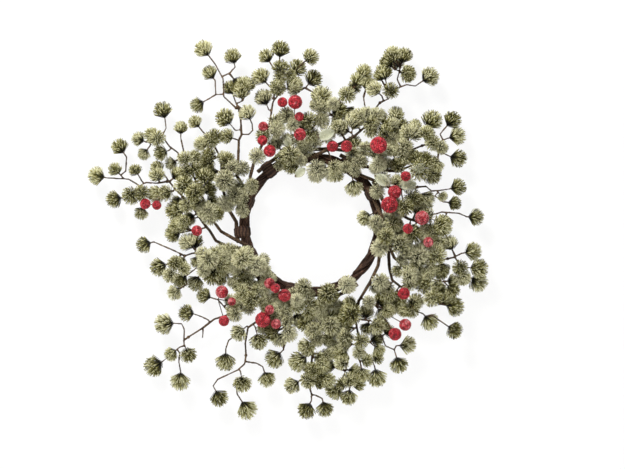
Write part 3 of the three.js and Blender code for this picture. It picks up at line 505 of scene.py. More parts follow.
@dataclass(frozen=True)
class BerryFinish:
    """Crimson skin under sugar beads: painted shade between them, a painted highlight on their caps, and
    pink-white sugar, partly a painted highlight on the lit side.
    """

    # deep is partly the berry's dark red and partly painted shade on the skin between the beads; pink is
    # partly its bright red and partly a painted highlight on the beads' outward caps
    deep: Colour = (0.012, 0.000, 0.001, 1.0)
    red: Colour = (0.340, 0.003, 0.011, 1.0)
    pink: Colour = (0.820, 0.062, 0.095, 1.0)
    sugar: Colour = (0.840, 0.500, 0.500, 1.0)
    mottle_grain: float = 420.0
    patch_grain: float = 150.0
    crystals: float = 1500.0
    mottle_swing: float = 1.0
    patch_swing: float = 0.6
    dust_frost: float = 1.3
    dust_patch: float = 1.3
    dust_mottle: float = 0.9
    dust_crystal: float = 0.35
    dust_line: float = 0.2
    coat: float = 0.2
    coat_dust: float = 0.15
    dull: float = 0.4
    dull_dust: float = 0.4

    def material(self) -> Material:
        """Make the finish.

        Returns:
            The material.
        """
        shader = SurfaceShader("sugared_berry")
        along = shader.attribute("along")
        frost = shader.attribute("frost")
        mottle = shader.grain(self.mottle_grain, detail=2.0)
        patch = shader.grain(self.patch_grain, detail=1.0)
        crystal = shader.cells(self.crystals)
        light = along + mottle.swing(self.mottle_swing) + patch.swing(self.patch_swing)
        skin = shader.ramp(light.held(), [(0.14, self.deep), (0.56, self.red), (1.0, self.pink)])
        # the frost attribute holds real sugar and, on the beads' caps and the lit side of a berry, a
        # painted highlight
        dust = frost * self.dust_frost + patch.swing(self.dust_patch) + mottle.swing(self.dust_mottle)
        dust = (dust - crystal * self.dust_crystal - self.dust_line).held()
        colour = shader.blend(dust, skin, self.sugar)
        shader.bump(1.0 - crystal, strength=0.5, depth=0.3 * MM)
        shader.dress(Specular_IOR_Level=0.3, Coat_Roughness=0.15)
        shader.dress(Coat_Weight=self.coat - self.coat_dust * dust)
        shader.dress(Sheen_Weight=0.14, Sheen_Roughness=0.45, Sheen_Tint=self.sugar)
        return shader.dress(Base_Color=colour, Roughness=self.dull + self.dull_dust * dust)


@dataclass(frozen=True)
class FrostFinish:
    """White flock grains with a grey-green cast."""

    shade: Colour = (0.42, 0.40, 0.25, 1.0)
    white: Colour = (0.77, 0.745, 0.58, 1.0)
    mottle_grain: float = 380.0
    sparks: float = 2400.0
    mottle_share: float = 1.5
    spark_share: float = 0.4
    darker: float = 0.15
    dull: float = 0.72
    dull_mottle: float = 0.2

    def material(self) -> Material:
        """Make the finish.

        Returns:
            The material.
        """
        shader = SurfaceShader("flock_grain")
        mottle = shader.grain(self.mottle_grain, detail=3.0)
        spark = shader.cells(self.sparks)
        light = (mottle * self.mottle_share - spark * self.spark_share - self.darker).held()
        colour = shader.blend(light, self.shade, self.white)
        shader.bump(1.0 - spark, strength=0.5, depth=0.2 * MM)
        return shader.dress(Base_Color=colour, Roughness=self.dull + self.dull_mottle * mottle)


@dataclass(frozen=True)
class LeafFinish:
    """Flocked leaf: grey green with a granular white bloom."""

    vein: Colour = (0.16, 0.165, 0.105, 1.0)
    leaf: Colour = (0.36, 0.37, 0.26, 1.0)
    bloom: Colour = (0.64, 0.64, 0.55, 1.0)
    mottle_grain: float = 260.0
    grit_grain: float = 2200.0
    along_share: float = 0.45
    mottle_share: float = 0.55
    grit_swing: float = 0.5
    grit_relief: float = 0.6
    mottle_relief: float = 0.4
    dull: float = 0.86
    shine: float = 0.15

    def material(self) -> Material:
        """Make the finish.

        Returns:
            The material.
        """
        shader = SurfaceShader("flocked_leaf")
        along = shader.attribute("along")
        mottle = shader.grain(self.mottle_grain, detail=4.0)
        grit = shader.grain(self.grit_grain, detail=3.0)
        light = along * self.along_share + mottle * self.mottle_share + grit.swing(self.grit_swing)
        colour = shader.ramp(light.held(), [(0.1, self.vein), (0.5, self.leaf), (0.95, self.bloom)])
        relief = grit * self.grit_relief + mottle * self.mottle_relief
        shader.bump(relief, strength=0.6, depth=0.6 * MM)
        return shader.dress(Base_Color=colour, Roughness=self.dull - self.shine * mottle)


@dataclass(frozen=True)
class WireFinish:
    """Drawn steel wire, dulled in places."""

    bright: Colour = (0.42, 0.40, 0.37, 1.0)
    dulled: Colour = (0.12, 0.09, 0.07, 1.0)
    stain_grain: float = 140.0
    scratch_grain: float = 1600.0
    stain_share: float = 1.4
    stain_line: float = 0.3
    rust: float = 0.5
    dull: float = 0.32
    dull_stain: float = 0.3

    def material(self) -> Material:
        """Make the finish.

        Returns:
            The material.
        """
        shader = SurfaceShader("hoop_wire")
        stain = shader.grain(self.stain_grain, detail=4.0)
        scratch = shader.grain(self.scratch_grain, detail=2.0)
        stained = (stain * self.stain_share - self.stain_line).held()
        colour = shader.blend(stained, self.bright, self.dulled)
        shader.bump(scratch, strength=0.3, depth=0.2 * MM)
        shader.dress(Metallic=1.0 - self.rust * stain)
        return shader.dress(Base_Color=colour, Roughness=self.dull + self.dull_stain * stain)


@dataclass
class Finishes:
    """The wreath's materials, made once."""

    twig: Material
    needles: Material
    frost: Material
    vine: Material
    tape: Material
    berry: Material
    leaf: Material
    wire: Material

    @classmethod
    def mixed(cls) -> "Finishes":
        """Make every finish.

        Returns:
            The materials.
        """
        return cls(
            twig=BarkFinish().material(),
            needles=NeedleFinish().material(),
            frost=FrostFinish().material(),
            vine=VineFinish().material(),
            tape=TapeFinish().material(),
            berry=BerryFinish().material(),
            leaf=LeafFinish().material(),
            wire=WireFinish().material(),
        )


def merged_copy(node: str) -> BMesh:
    """A CAD node's shape with its loose triangles joined.

    Args:
        node: The node's name.

    Returns:
        A mesh that the caller frees.
    """
    shape = bmesh.new()
    shape.from_mesh(frame["nodes"][node].data)
    bmesh.ops.remove_doubles(shape, verts=shape.verts, dist=WELD)
    shape.normal_update()
    return shape


def body_of(node: str) -> str:
    """The body that a CAD node rides on."""
    return next(name for name, empty in frame["bodies"].items() if frame["nodes"][node].parent == empty)


def modified(shape: BMesh, steps: list[tuple[str, dict[str, Any]]]) -> Mesh:
    """Put a shape through modifiers and keep the result.

    Args:
        shape: The shape, freed here.
        steps: Modifier types and their settings, in order.

    Returns:
        The finished mesh.
    """
    start = bpy.data.meshes.new("raw")
    shape.to_mesh(start)
    shape.free()
    holder = bpy.data.objects.new("raw", start)
    bpy.context.scene.collection.objects.link(holder)
    for kind, settings in steps:
        step = holder.modifiers.new(kind, kind)
        for key, value in settings.items():
            setattr(step, key, value)
    held = holder.evaluated_get(bpy.context.evaluated_depsgraph_get())
    result = bpy.data.meshes.new_from_object(held)
    bpy.data.objects.remove(holder)
    bpy.data.meshes.remove(start)
    return result


def remeshed(shape: BMesh, voxel: float, smoothing: int) -> Mesh:
    """Give a shape one even skin.

    Args:
        shape: The shape, freed here.
        voxel: Size of the skin's cells.
        smoothing: Rounds of smoothing.

    Returns:
        The skin.
    """
    remesh = {"mode": "VOXEL", "voxel_size": voxel, "use_smooth_shade": True}
    return modified(shape, [("REMESH", remesh), ("SMOOTH", {"factor": 0.5, "iterations": smoothing})])


def finished(shape: BMesh, name: str, materials: list[Material]) -> Object:
    """Make a piece of a shape, smooth and dressed.

    Args:
        shape: The shape, freed here.
        name: The piece's name.
        materials: Its materials, in slot order.

    Returns:
        The piece.
    """
    for face in shape.faces:
        face.smooth = True
    mesh = bpy.data.meshes.new(name)
    shape.to_mesh(mesh)
    shape.free()
    for material in materials:
        mesh.materials.append(material)
    piece = bpy.data.objects.new(name, mesh)
    bpy.context.scene.collection.objects.link(piece)
    return piece


def rod_frame(foot: Vector, tip: Vector) -> Matrix:
    """Placing of a rod whose own axis is Z and whose middle is the origin."""
    turn = (tip - foot).to_track_quat("Z", "Y").to_matrix().to_4x4()
    return Matrix.Translation((foot + tip) / 2.0) @ turn


def add_rod(
    shape: BMesh, foot: Vector, tip: Vector, radii: Span, sides: int = ROD_SIDES
) -> list[BMVert]:
    """Add a tapered closed rod.

    Args:
        shape: The mesh it goes into.
        foot: Middle of its first end.
        tip: Middle of its other end.
        radii: Radius at the foot and at the tip.
        sides: Number of sides.

    Returns:
        Its vertices.
    """
    made = bmesh.ops.create_cone(
        shape,
        cap_ends=True,
        cap_tris=False,
        segments=sides,
        radius1=radii[0],
        radius2=radii[1],
        depth=(tip - foot).length,
        matrix=rod_frame(foot, tip),
    )
    return made["verts"]


def loose_bits(shape: BMesh) -> list[list[BMVert]]:
    """The separate bits of a shape.

    Args:
        shape: The shape.

    Returns:
        The vertices of each bit, the largest bit first.
    """
    seen: set[BMVert] = set()
    bits = []
    for start in shape.verts:
        if start in seen:
            continue
        seen.add(start)
        bit = [start]
        for vert in bit:
            fresh = [edge.other_vert(vert) for edge in vert.link_edges]
            fresh = [other for other in fresh if other not in seen]
            seen.update(fresh)
            bit.extend(fresh)
        bits.append(bit)
    return sorted(bits, key=len, reverse=True)


def joined_up(mesh: Mesh, radius: float, node: str) -> BMesh:
    """Drop the stray crumbs of a remeshed stem and bridge its breaks.

    Args:
        mesh: The stem.
        radius: Radius of a bridge.
        node: The node that the stem belongs to.

    Returns:
        The stem in one run.
    """
    shape = bmesh.new()
    shape.from_mesh(mesh)
    trunk, *others = loose_bits(shape)
    tree = KDTree(len(trunk))
    for index, vert in enumerate(trunk):
        tree.insert(vert.co, index)
    tree.balance()
    bridges = []
    for bit in (bit for bit in others if len(bit) >= CRUMB_VERTS):
        far = min(bit, key=lambda vert: tree.find(vert.co)[2]).co.copy()
        near, _, gap = tree.find(far)
        bridges.append((near, far))
        LOG.info("%s: bridged a break of %.1f mm", node, gap / MM)
    crumbs = [vert for bit in others if len(bit) < CRUMB_VERTS for vert in bit]
    bmesh.ops.delete(shape, geom=crumbs, context="VERTS")
    for near, far in bridges:
        bed = (far - near).normalized() * BRIDGE_BED
        add_rod(shape, near - bed, far + bed, (radius, radius))
    shape.to_mesh(mesh)
    shape.free()
    # a fresh shape keeps what is added later behind what it holds
    mended = bmesh.new()
    mended.from_mesh(mesh)
    return mended


@dataclass(frozen=True)
class BudShape:
    """Outline of a CAD bud, in shares of its tuft's width, with a slack in metres."""

    middle: float = 0.52
    half: float = 0.5
    neck: float = 0.55
    flare: float = 0.91
    taper: float = 0.133
    top: float = 1.03
    slack: float = 0.4 * MM


BUD = BudShape()


@dataclass(frozen=True)
class TuftSpot:
    """Foot, direction and width of a needle tuft."""

    foot: Vector
    axis: Vector
    width: float

    def middle(self) -> Vector:
        """Middle of the tuft."""
        return self.foot + self.axis * (BUD.middle * self.width)

    def heights(self, point: Vector) -> tuple[float, float]:
        """Place of a point along the axis and away from it.

        Args:
            point: The point.

        Returns:
            Distance along the axis from the foot, and distance from the axis.
        """
        arm = point - self.foot
        along = arm.dot(self.axis)
        return along, (arm - self.axis * along).length

    def holds(self, point: Vector) -> bool:
        """Tell whether a point lies in the tuft's CAD bud.

        Args:
            point: The point.

        Returns:
            Whether it does.
        """
        along, away = self.heights(point)
        neck = BUD.neck * self.width
        limit = BUD.flare * along if along < neck else BUD.half * self.width - BUD.taper * (along - neck)
        return 0.0 < along < BUD.top * self.width and away < limit + BUD.slack


@dataclass(frozen=True)
class BerrySpot:
    """Middle and radius of a berry."""

    middle: Vector
    radius: float

    def holds(self, point: Vector) -> bool:
        """Whether a point lies in the berry."""
        return (point - self.middle).length < self.radius


@dataclass
class TuftReader:
    """Finds needle tufts in a CAD growth by the shape of their crowns.

    A crown is a ring of triangles from its middle to a spike and a valley beside it. The
    sizes are shares of the tuft's width.
    """

    middle: float = 0.92
    spike_out: float = 0.44
    spike_rise: float = 0.08
    valley_out: float = 0.5
    valley_drop: float = 0.37
    sides: int = 6
    slack: float = 0.012
    narrow: float = 13 * MM
    wide: float = 42 * MM
    votes: int = 2
    same_foot: float = 1.5 * MM

    def edges(self) -> tuple[float, float, float]:
        """Work out the sides of a crown's triangle.

        Returns:
            Lengths from the middle to the spike, to the valley, and between those two.
        """
        to_spike = math.hypot(self.spike_out, self.spike_rise)
        to_valley = math.hypot(self.valley_out, self.valley_drop)
        turn = math.cos(math.tau / self.sides)
        flat = self.spike_out**2 + self.valley_out**2 - 2 * self.spike_out * self.valley_out * turn
        return to_spike, to_valley, math.sqrt(flat + (self.spike_rise + self.valley_drop) ** 2)

    def spot(self, face: BMFace) -> Optional[TuftSpot]:
        """The tuft that a face would belong to.

        Args:
            face: A face of the growth.

        Returns:
            The tuft, or nothing where the face is no crown triangle.
        """
        to_spike, to_valley, across = self.edges()
        loops = sorted(face.edges, key=lambda edge: edge.calc_length())
        short, middle, long = (edge.calc_length() for edge in loops)
        width = long / across
        if not self.narrow < width < self.wide:
            return None
        if abs(short / width - to_spike) > self.slack or abs(middle / width - to_valley) > self.slack:
            return None
        crown = next(iter(set(loops[0].verts) & set(loops[1].verts)))
        spike = loops[0].other_vert(crown).co - crown.co
        valley = loops[1].other_vert(crown).co - crown.co
        first = spike.normalized()
        second = (valley - first * valley.dot(first)).normalized()
        one = self.spike_rise * width / spike.dot(first)
        two = (-self.valley_drop * width - one * valley.dot(first)) / valley.dot(second)
        rest = 1.0 - one * one - two * two
        axis = first * one + second * two + face.normal * math.sqrt(max(rest, 0.0))
        axis.normalize()
        return TuftSpot(crown.co - axis * (self.middle * width), axis, width)

    def read(self, shape: BMesh) -> list[TuftSpot]:
        """Every tuft of a growth.

        Args:
            shape: The growth, joined.

        Returns:
            The tufts that enough faces agree on.
        """
        groups: list[list[TuftSpot]] = []
        for face in shape.faces:
            spot = self.spot(face)
            if spot is None:
                continue
            near = [group for group in groups if (group[0].foot - spot.foot).length < self.same_foot]
            if near:
                near[0].append(spot)
            else:
                groups.append([spot])
        return [group[0] for group in groups if len(group) >= self.votes]


@dataclass
class NeedleKit:
    """Needle tufts of width one, stamped where a growth carries them."""

    needles: int = 290
    needle_sides: int = 3
    variants: int = 6
    plain_seed: int = 100
    flocked_seed: int = 200
    spread: float = math.radians(108)
    half: float = 0.5
    heart: float = 0.50
    longest: float = 1.08
    shorter: float = 0.48
    crowding: float = 1.6
    stray: float = 0.3
    sag: Span = (0.92, 1.08)
    foot_stray: float = 0.05
    foot_height: float = 0.06
    foot_climb: float = 0.40
    climb: Span = (0.7, 1.0)
    tip_radius: float = 0.0205
    thickness: Span = (0.7, 1.2)
    core_height: float = 0.36
    core_size: tuple[float, float, float] = (0.17, 0.17, 0.26)
    # the core takes the needles' near-black foot colour: painted shade in the tuft's heart
    core_shade_along: float = 0.12
    grains: int = 22
    grain_cover: float = 0.8
    grain_stray: float = 0.6
    grain_reach: Span = (0.72, 1.0)
    grain_radius: Span = (0.017, 0.034)
    frosted: float = 0.42
    shades: Span = (-0.21, 0.22)
    around: float = 0.65
    plain: list[Mesh] = field(default_factory=list)
    flocked: list[Mesh] = field(default_factory=list)

    def make(self) -> None:
        """Make the plain and the flocked tufts."""
        for index in range(self.variants):
            self.plain.append(self.tuft(self.plain_seed + index, 0))
            self.flocked.append(self.tuft(self.flocked_seed + index, self.grains))

    def tip(self, share: float, turn: float, reach: float) -> Vector:
        """A point on the tuft's rounded head.

        Args:
            share: Place from the top, nought, to the lowest ring, one.
            turn: Angle round the axis.
            reach: Distance from the tuft's heart.

        Returns:
            The point.
        """
        fall = math.acos(1.0 - share * (1.0 - math.cos(self.spread)))
        flat = math.sin(fall) * reach
        return Vector((flat * math.cos(turn), flat * math.sin(turn), self.heart + math.cos(fall) * reach))

    def tuft(self, seed: int, grains: int) -> Mesh:
        """Make one tuft.

        Args:
            seed: Seed of its irregularity.
            grains: Number of flock grains on it.

        Returns:
            The tuft along Z, with its foot at the origin.
        """
        chance = random.Random(seed)
        shape = bmesh.new()
        for name in ("along", "frost", "tone"):
            shape.verts.layers.float.new(name)
        along = shape.verts.layers.float["along"]
        tone = shape.verts.layers.float["tone"]
        lifted = Matrix.Translation((0.0, 0.0, self.core_height))
        sized = Matrix.Diagonal((*self.core_size, 1.0))
        core = bmesh.ops.create_icosphere(shape, subdivisions=1, radius=1.0, matrix=lifted @ sized)
        for vert in core["verts"]:
            vert[along] = self.core_shade_along
        for index in range(self.needles):
            share = (index + 0.5) / self.needles
            turn = index * GOLDEN_TURN + chance.uniform(-self.stray, self.stray)
            reach = self.half * (self.longest - self.shorter * chance.random() ** self.crowding)
            tip = self.tip(min(share * chance.uniform(*self.sag), 1.0), turn, reach)
            aside = [chance.uniform(-self.foot_stray, self.foot_stray) for _ in range(2)]
            foot = Vector((*aside, self.foot_height))
            foot.z += self.foot_climb * (1.0 - share) * chance.uniform(*self.climb)
            thick = self.tip_radius * chance.uniform(*self.thickness)
            hue = chance.random()
            rod = tip - foot
            for vert in add_rod(shape, foot, tip, (0.0, thick), self.needle_sides):
                vert[along] = (vert.co - foot).dot(rod) / rod.length_squared
                vert[tone] = hue
        for face in shape.faces:
            face.material_index = Slot.NEEDLES
        for index in range(grains):
            share = (index + 0.5) / grains * self.grain_cover
            turn = index * GOLDEN_TURN + chance.uniform(-self.grain_stray, self.grain_stray)
            reach = self.half * chance.uniform(*self.grain_reach)
            self.grain(shape, self.tip(share, turn, reach), chance.uniform(*self.grain_radius))
        mesh = bpy.data.meshes.new("tuft")
        shape.to_mesh(mesh)
        shape.free()
        return mesh

    def grain(self, shape: BMesh, middle: Vector, radius: float) -> None:
        """Add one flock grain.

        Args:
            shape: The tuft.
            middle: The grain's middle.
            radius: Its radius.
        """
        made = bmesh.ops.create_icosphere(
            shape, subdivisions=1, radius=radius, matrix=Matrix.Translation(middle)
        )
        for face in {face for vert in made["verts"] for face in vert.link_faces}:
            face.material_index = Slot.FROST

    @staticmethod
    def met_by(berries: list[BerrySpot], verts: list[BMVert]) -> set[BMVert]:
        """Find the needles that berries would come into.

        Args:
            berries: The berries near the tuft.
            verts: The tuft's vertices.

        Returns:
            Every vertex of those needles.
        """
        met = [vert for vert in verts if any(berry.holds(vert.co) for berry in berries)]
        needles = set(met)
        while met:
            near = {edge.other_vert(vert) for vert in met for edge in vert.link_edges} - needles
            needles |= near
            met = list(near)
        return needles

    def stamp(
        self,
        shape: BMesh,
        spot: TuftSpot,
        frost: float,
        chance: random.Random,
        berries: list[BerrySpot],
    ) -> set[BMVert]:
        """Put a tuft on a growth.

        Args:
            shape: The growth.
            spot: Where it goes.
            frost: How frosted it is, nought to one.
            chance: Source of its roll and variant.
            berries: Where berries come as the wreath bends.

        Returns:
            The vertices of the needles that those berries would come into.
        """
        before = len(shape.verts)
        kind = self.flocked if frost > self.frosted else self.plain
        shape.from_mesh(chance.choice(kind))
        shape.verts.ensure_lookup_table()
        fresh = shape.verts[before:]
        turn = spot.axis.to_track_quat("Z", "Y").to_matrix().to_4x4()
        roll = Matrix.Rotation(chance.uniform(0.0, math.tau), 4, "Z")
        size = Matrix.Scale(spot.width, 4)
        placing = Matrix.Translation(spot.foot) @ turn @ roll @ size
        bmesh.ops.transform(shape, matrix=placing, verts=fresh)
        layer = shape.verts.layers.float["frost"]
        tone = shape.verts.layers.float["tone"]
        shade = chance.uniform(*self.shades)
        for vert in fresh:
            vert[layer] = frost
            vert[tone] += shade
        middle = spot.middle()
        reach = self.around * spot.width
        near = [berry for berry in berries if (berry.middle - middle).length < berry.radius + reach]
        return self.met_by(near, fresh) if near else set()


@dataclass
class Growth:
    """A branch or sprig: bark-covered wood with its needle tufts."""

    node: str
    body: str
    spots: list[TuftSpot] = field(default_factory=list)
    extra: list[tuple[Vector, TuftSpot]] = field(default_factory=list)
    knuckles: list[tuple[Vector, Vector]] = field(default_factory=list)
    heel: Optional[Vector] = None
    berries: list[BerrySpot] = field(default_factory=list)
    core_radius: float = 0.9 * MM
    core_share: float = 0.72
    swell: float = 0.45 * MM
    slender: float = 2.2 * MM
    stoutest: float = 0.7
    slimmed: float = 1.05 * MM
    slim_from: float = 125 * MM
    slim_over: float = 50 * MM
    probe_start: float = 0.02 * MM
    probe_reach: float = 12 * MM
    heel_reach: float = 1.5 * MM
    heel_radii: Span = (1.7 * MM, 1.5 * MM)
    twig_radii: Span = (1.9 * MM, 1.6 * MM)
    head_radii: Span = (1.5 * MM, 1.1 * MM)
    pin_radius: float = 2.0 * MM
    pin_gap: float = 0.2 * MM
    knuckle: float = 2.6 * MM
    bridge: float = 1.0 * MM
    voxel: float = 0.85 * MM
    smoothing: int = 4
    sample_step: float = 2 * MM
    frost_from: float = 0.10
    frost_over: float = 0.14
    frost_rim: float = 0.15
    frost_ring: float = 0.45
    frost_stray: float = 0.28

    def read(self, reader: TuftReader) -> None:
        """Find the growth's tufts.

        Args:
            reader: What finds them.
        """
        shape = merged_copy(self.node)
        self.spots = reader.read(shape)
        shape.free()

    def wood_points(self) -> Iterator[Vector]:
        """Walk along the wood's edges, clear of the tufts.

        Returns:
            Points on them, one by one.
        """
        shape = merged_copy(self.node)
        for edge in shape.edges:
            first, second = (vert.co for vert in edge.verts)
            if any(spot.holds(first) or spot.holds(second) for spot in self.spots):
                continue
            count = max(1, round((second - first).length / self.sample_step))
            for index in range(count):
                yield first.lerp(second, (index + 0.5) / count)
        shape.free()

    def slim(self, vert: BMVert) -> None:
        """Draw a bud's vertex in to the twig that runs up its middle.

        Args:
            vert: A vertex of the growth.
        """
        for spot in self.spots:
            if not spot.holds(vert.co):
                continue
            along, away = spot.heights(vert.co)
            side = vert.co - spot.foot - spot.axis * along
            kept = min(away, self.core_radius)
            height = min(along, self.core_share * spot.width)
            vert.co = spot.foot + spot.axis * height + side * (kept / max(away, 1e-9))
            return

    def heel_rod(self, shape: BMesh) -> Optional[tuple[Vector, Vector]]:
        """The first straight length of a sprig, from its hinge.

        Args:
            shape: The growth, joined.

        Returns:
            The hinge and the middle of the wood's next section, or nothing for a branch.
        """
        if self.heel is None:
            return None
        ring = [vert for vert in shape.verts if (vert.co - self.heel).length < self.heel_reach]
        around = {edge.other_vert(vert) for vert in ring for edge in vert.link_edges}
        beyond = [vert.co for vert in shape.verts if vert in around and vert not in ring]
        return self.heel, sum(beyond, Vector()) / len(beyond)

    def thinning(self, inside: BVHTree, vert: BMVert) -> float:
        """How much thinner a stem's skin is drawn, away from the ring.

        Args:
            inside: The growth's surface.
            vert: A vertex of it.

        Returns:
            The distance inwards.
        """
        arm = vert.co - RING_CENTRE
        away = min(max((math.hypot(arm.x, arm.z) - self.slim_from) / self.slim_over, 0.0), 1.0)
        start = vert.co - vert.normal * self.probe_start
        _, _, _, thick = inside.ray_cast(start, -vert.normal, self.probe_reach)
        stout = min(max(((thick or 0.0) - self.slender) / self.slender, 0.0), self.stoutest)
        return self.slimmed * away * stout

    def wood(self) -> Mesh:
        """Make the wood, rounded, with the twigs of the extra tufts.

        Returns:
            The wood.
        """
        shape = merged_copy(self.node)
        for vert in shape.verts:
            self.slim(vert)
        shape.normal_update()
        heel = self.heel_rod(shape)
        inside = BVHTree.FromBMesh(shape)
        moves = [self.swell - self.thinning(inside, vert) for vert in shape.verts]
        for vert, move in zip(shape.verts, moves):
            vert.co += vert.normal * move
        if heel:
            add_rod(shape, heel[0], heel[1], self.heel_radii)
        for root, spot in self.extra:
            head = spot.foot + spot.axis * (BUD.half * spot.width)
            add_rod(shape, root, spot.foot, self.twig_radii)
            add_rod(shape, spot.foot - spot.axis * MM, head, self.head_radii)
        for root, pin in self.knuckles:
            if (pin - root).length > self.pin_gap:
                add_rod(shape, root, pin, (self.pin_radius, self.pin_radius))
            bmesh.ops.create_icosphere(
                shape, subdivisions=2, radius=self.knuckle, matrix=Matrix.Translation(pin)
            )
        return remeshed(shape, self.voxel, self.smoothing)

    def frost(self, spot: TuftSpot, chance: random.Random) -> float:
        """How frosted a tuft is: most near the ring, least at the rim.

        Args:
            spot: The tuft.
            chance: Source of its irregularity.

        Returns:
            The share of frost.
        """
        arm = spot.middle() - RING_CENTRE
        reach = math.hypot(arm.x, arm.z)
        inner = 1.0 - min(max((reach - self.frost_from) / self.frost_over, 0.0), 1.0)
        stray = chance.uniform(-self.frost_stray, self.frost_stray)
        return self.frost_rim + self.frost_ring * inner + stray

    def build(self, kit: NeedleKit, finishes: Finishes) -> Object:
        """Make the whole growth as one piece that stands for its node.

        Args:
            kit: The needle tufts.
            finishes: The wreath's materials.

        Returns:
            The piece.
        """
        chance = random.Random(self.node)
        shape = joined_up(self.wood(), self.bridge, self.node)
        for name in ("along", "frost", "tone"):
            shape.verts.layers.float.new(name)
        for face in shape.faces:
            face.material_index = Slot.BARK
        met: set[BMVert] = set()
        for spot in self.spots + [spot for _, spot in self.extra]:
            met |= kit.stamp(shape, spot, self.frost(spot, chance), chance, self.berries)
        bmesh.ops.delete(shape, geom=list(met), context="VERTS")
        piece = finished(shape, f"{self.node}_spray", [finishes.twig, finishes.needles, finishes.frost])
        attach(piece, self.body)
        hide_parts(self.node)
        return piece


@dataclass(frozen=True)
class Filling:
    """A tuft that no CAD twig carries: its place in the front view, width and lift in mm."""

    right: float
    up: float
    width: float = 25.0
    lift: float = 12.0


@dataclass(frozen=True)
class Bank:
    """An oval of undergrowth in the front view, filled with small tufts, in mm."""

    right: float
    up: float
    half_width: float
    half_height: float
    tufts: int
    width: float = 23.0
    lift: Span = (-8.0, 12.0)
    tries: int = 12
    sizes: Span = (0.85, 1.15)

    def fillings(self, seed: int) -> list[Filling]:
        """Spread the bank's tufts evenly.

        Args:
            seed: Seed of the spread.

        Returns:
            The tufts.
        """
        chance = random.Random(seed)
        placed: list[Filling] = []

        def room(spot: Span) -> float:
            """Distance from a place to the nearest tuft placed so far."""
            return min([math.dist(spot, (tuft.right, tuft.up)) for tuft in placed], default=0.0)

        for _ in range(self.tufts):
            best = max([self.anywhere(chance) for _ in range(self.tries)], key=room)
            size = self.width * chance.uniform(*self.sizes)
            placed.append(Filling(best[0], best[1], size, chance.uniform(*self.lift)))
        return placed

    def anywhere(self, chance: random.Random) -> Span:
        """Pick a random place in the oval.

        Args:
            chance: Source of the place.

        Returns:
            The place, right and up.
        """
        turn = chance.uniform(0.0, math.tau)
        reach = math.sqrt(chance.random())
        return (
            self.right + self.half_width * reach * math.cos(turn),
            self.up + self.half_height * reach * math.sin(turn),
        )


@dataclass(eq=False)
class Ball:
    """A tuft or a berry as a ball, and the twig of an extra tuft."""

    body: str
    middle: Vector
    radius: float
    twig: Optional[tuple[Vector, TuftSpot]] = None


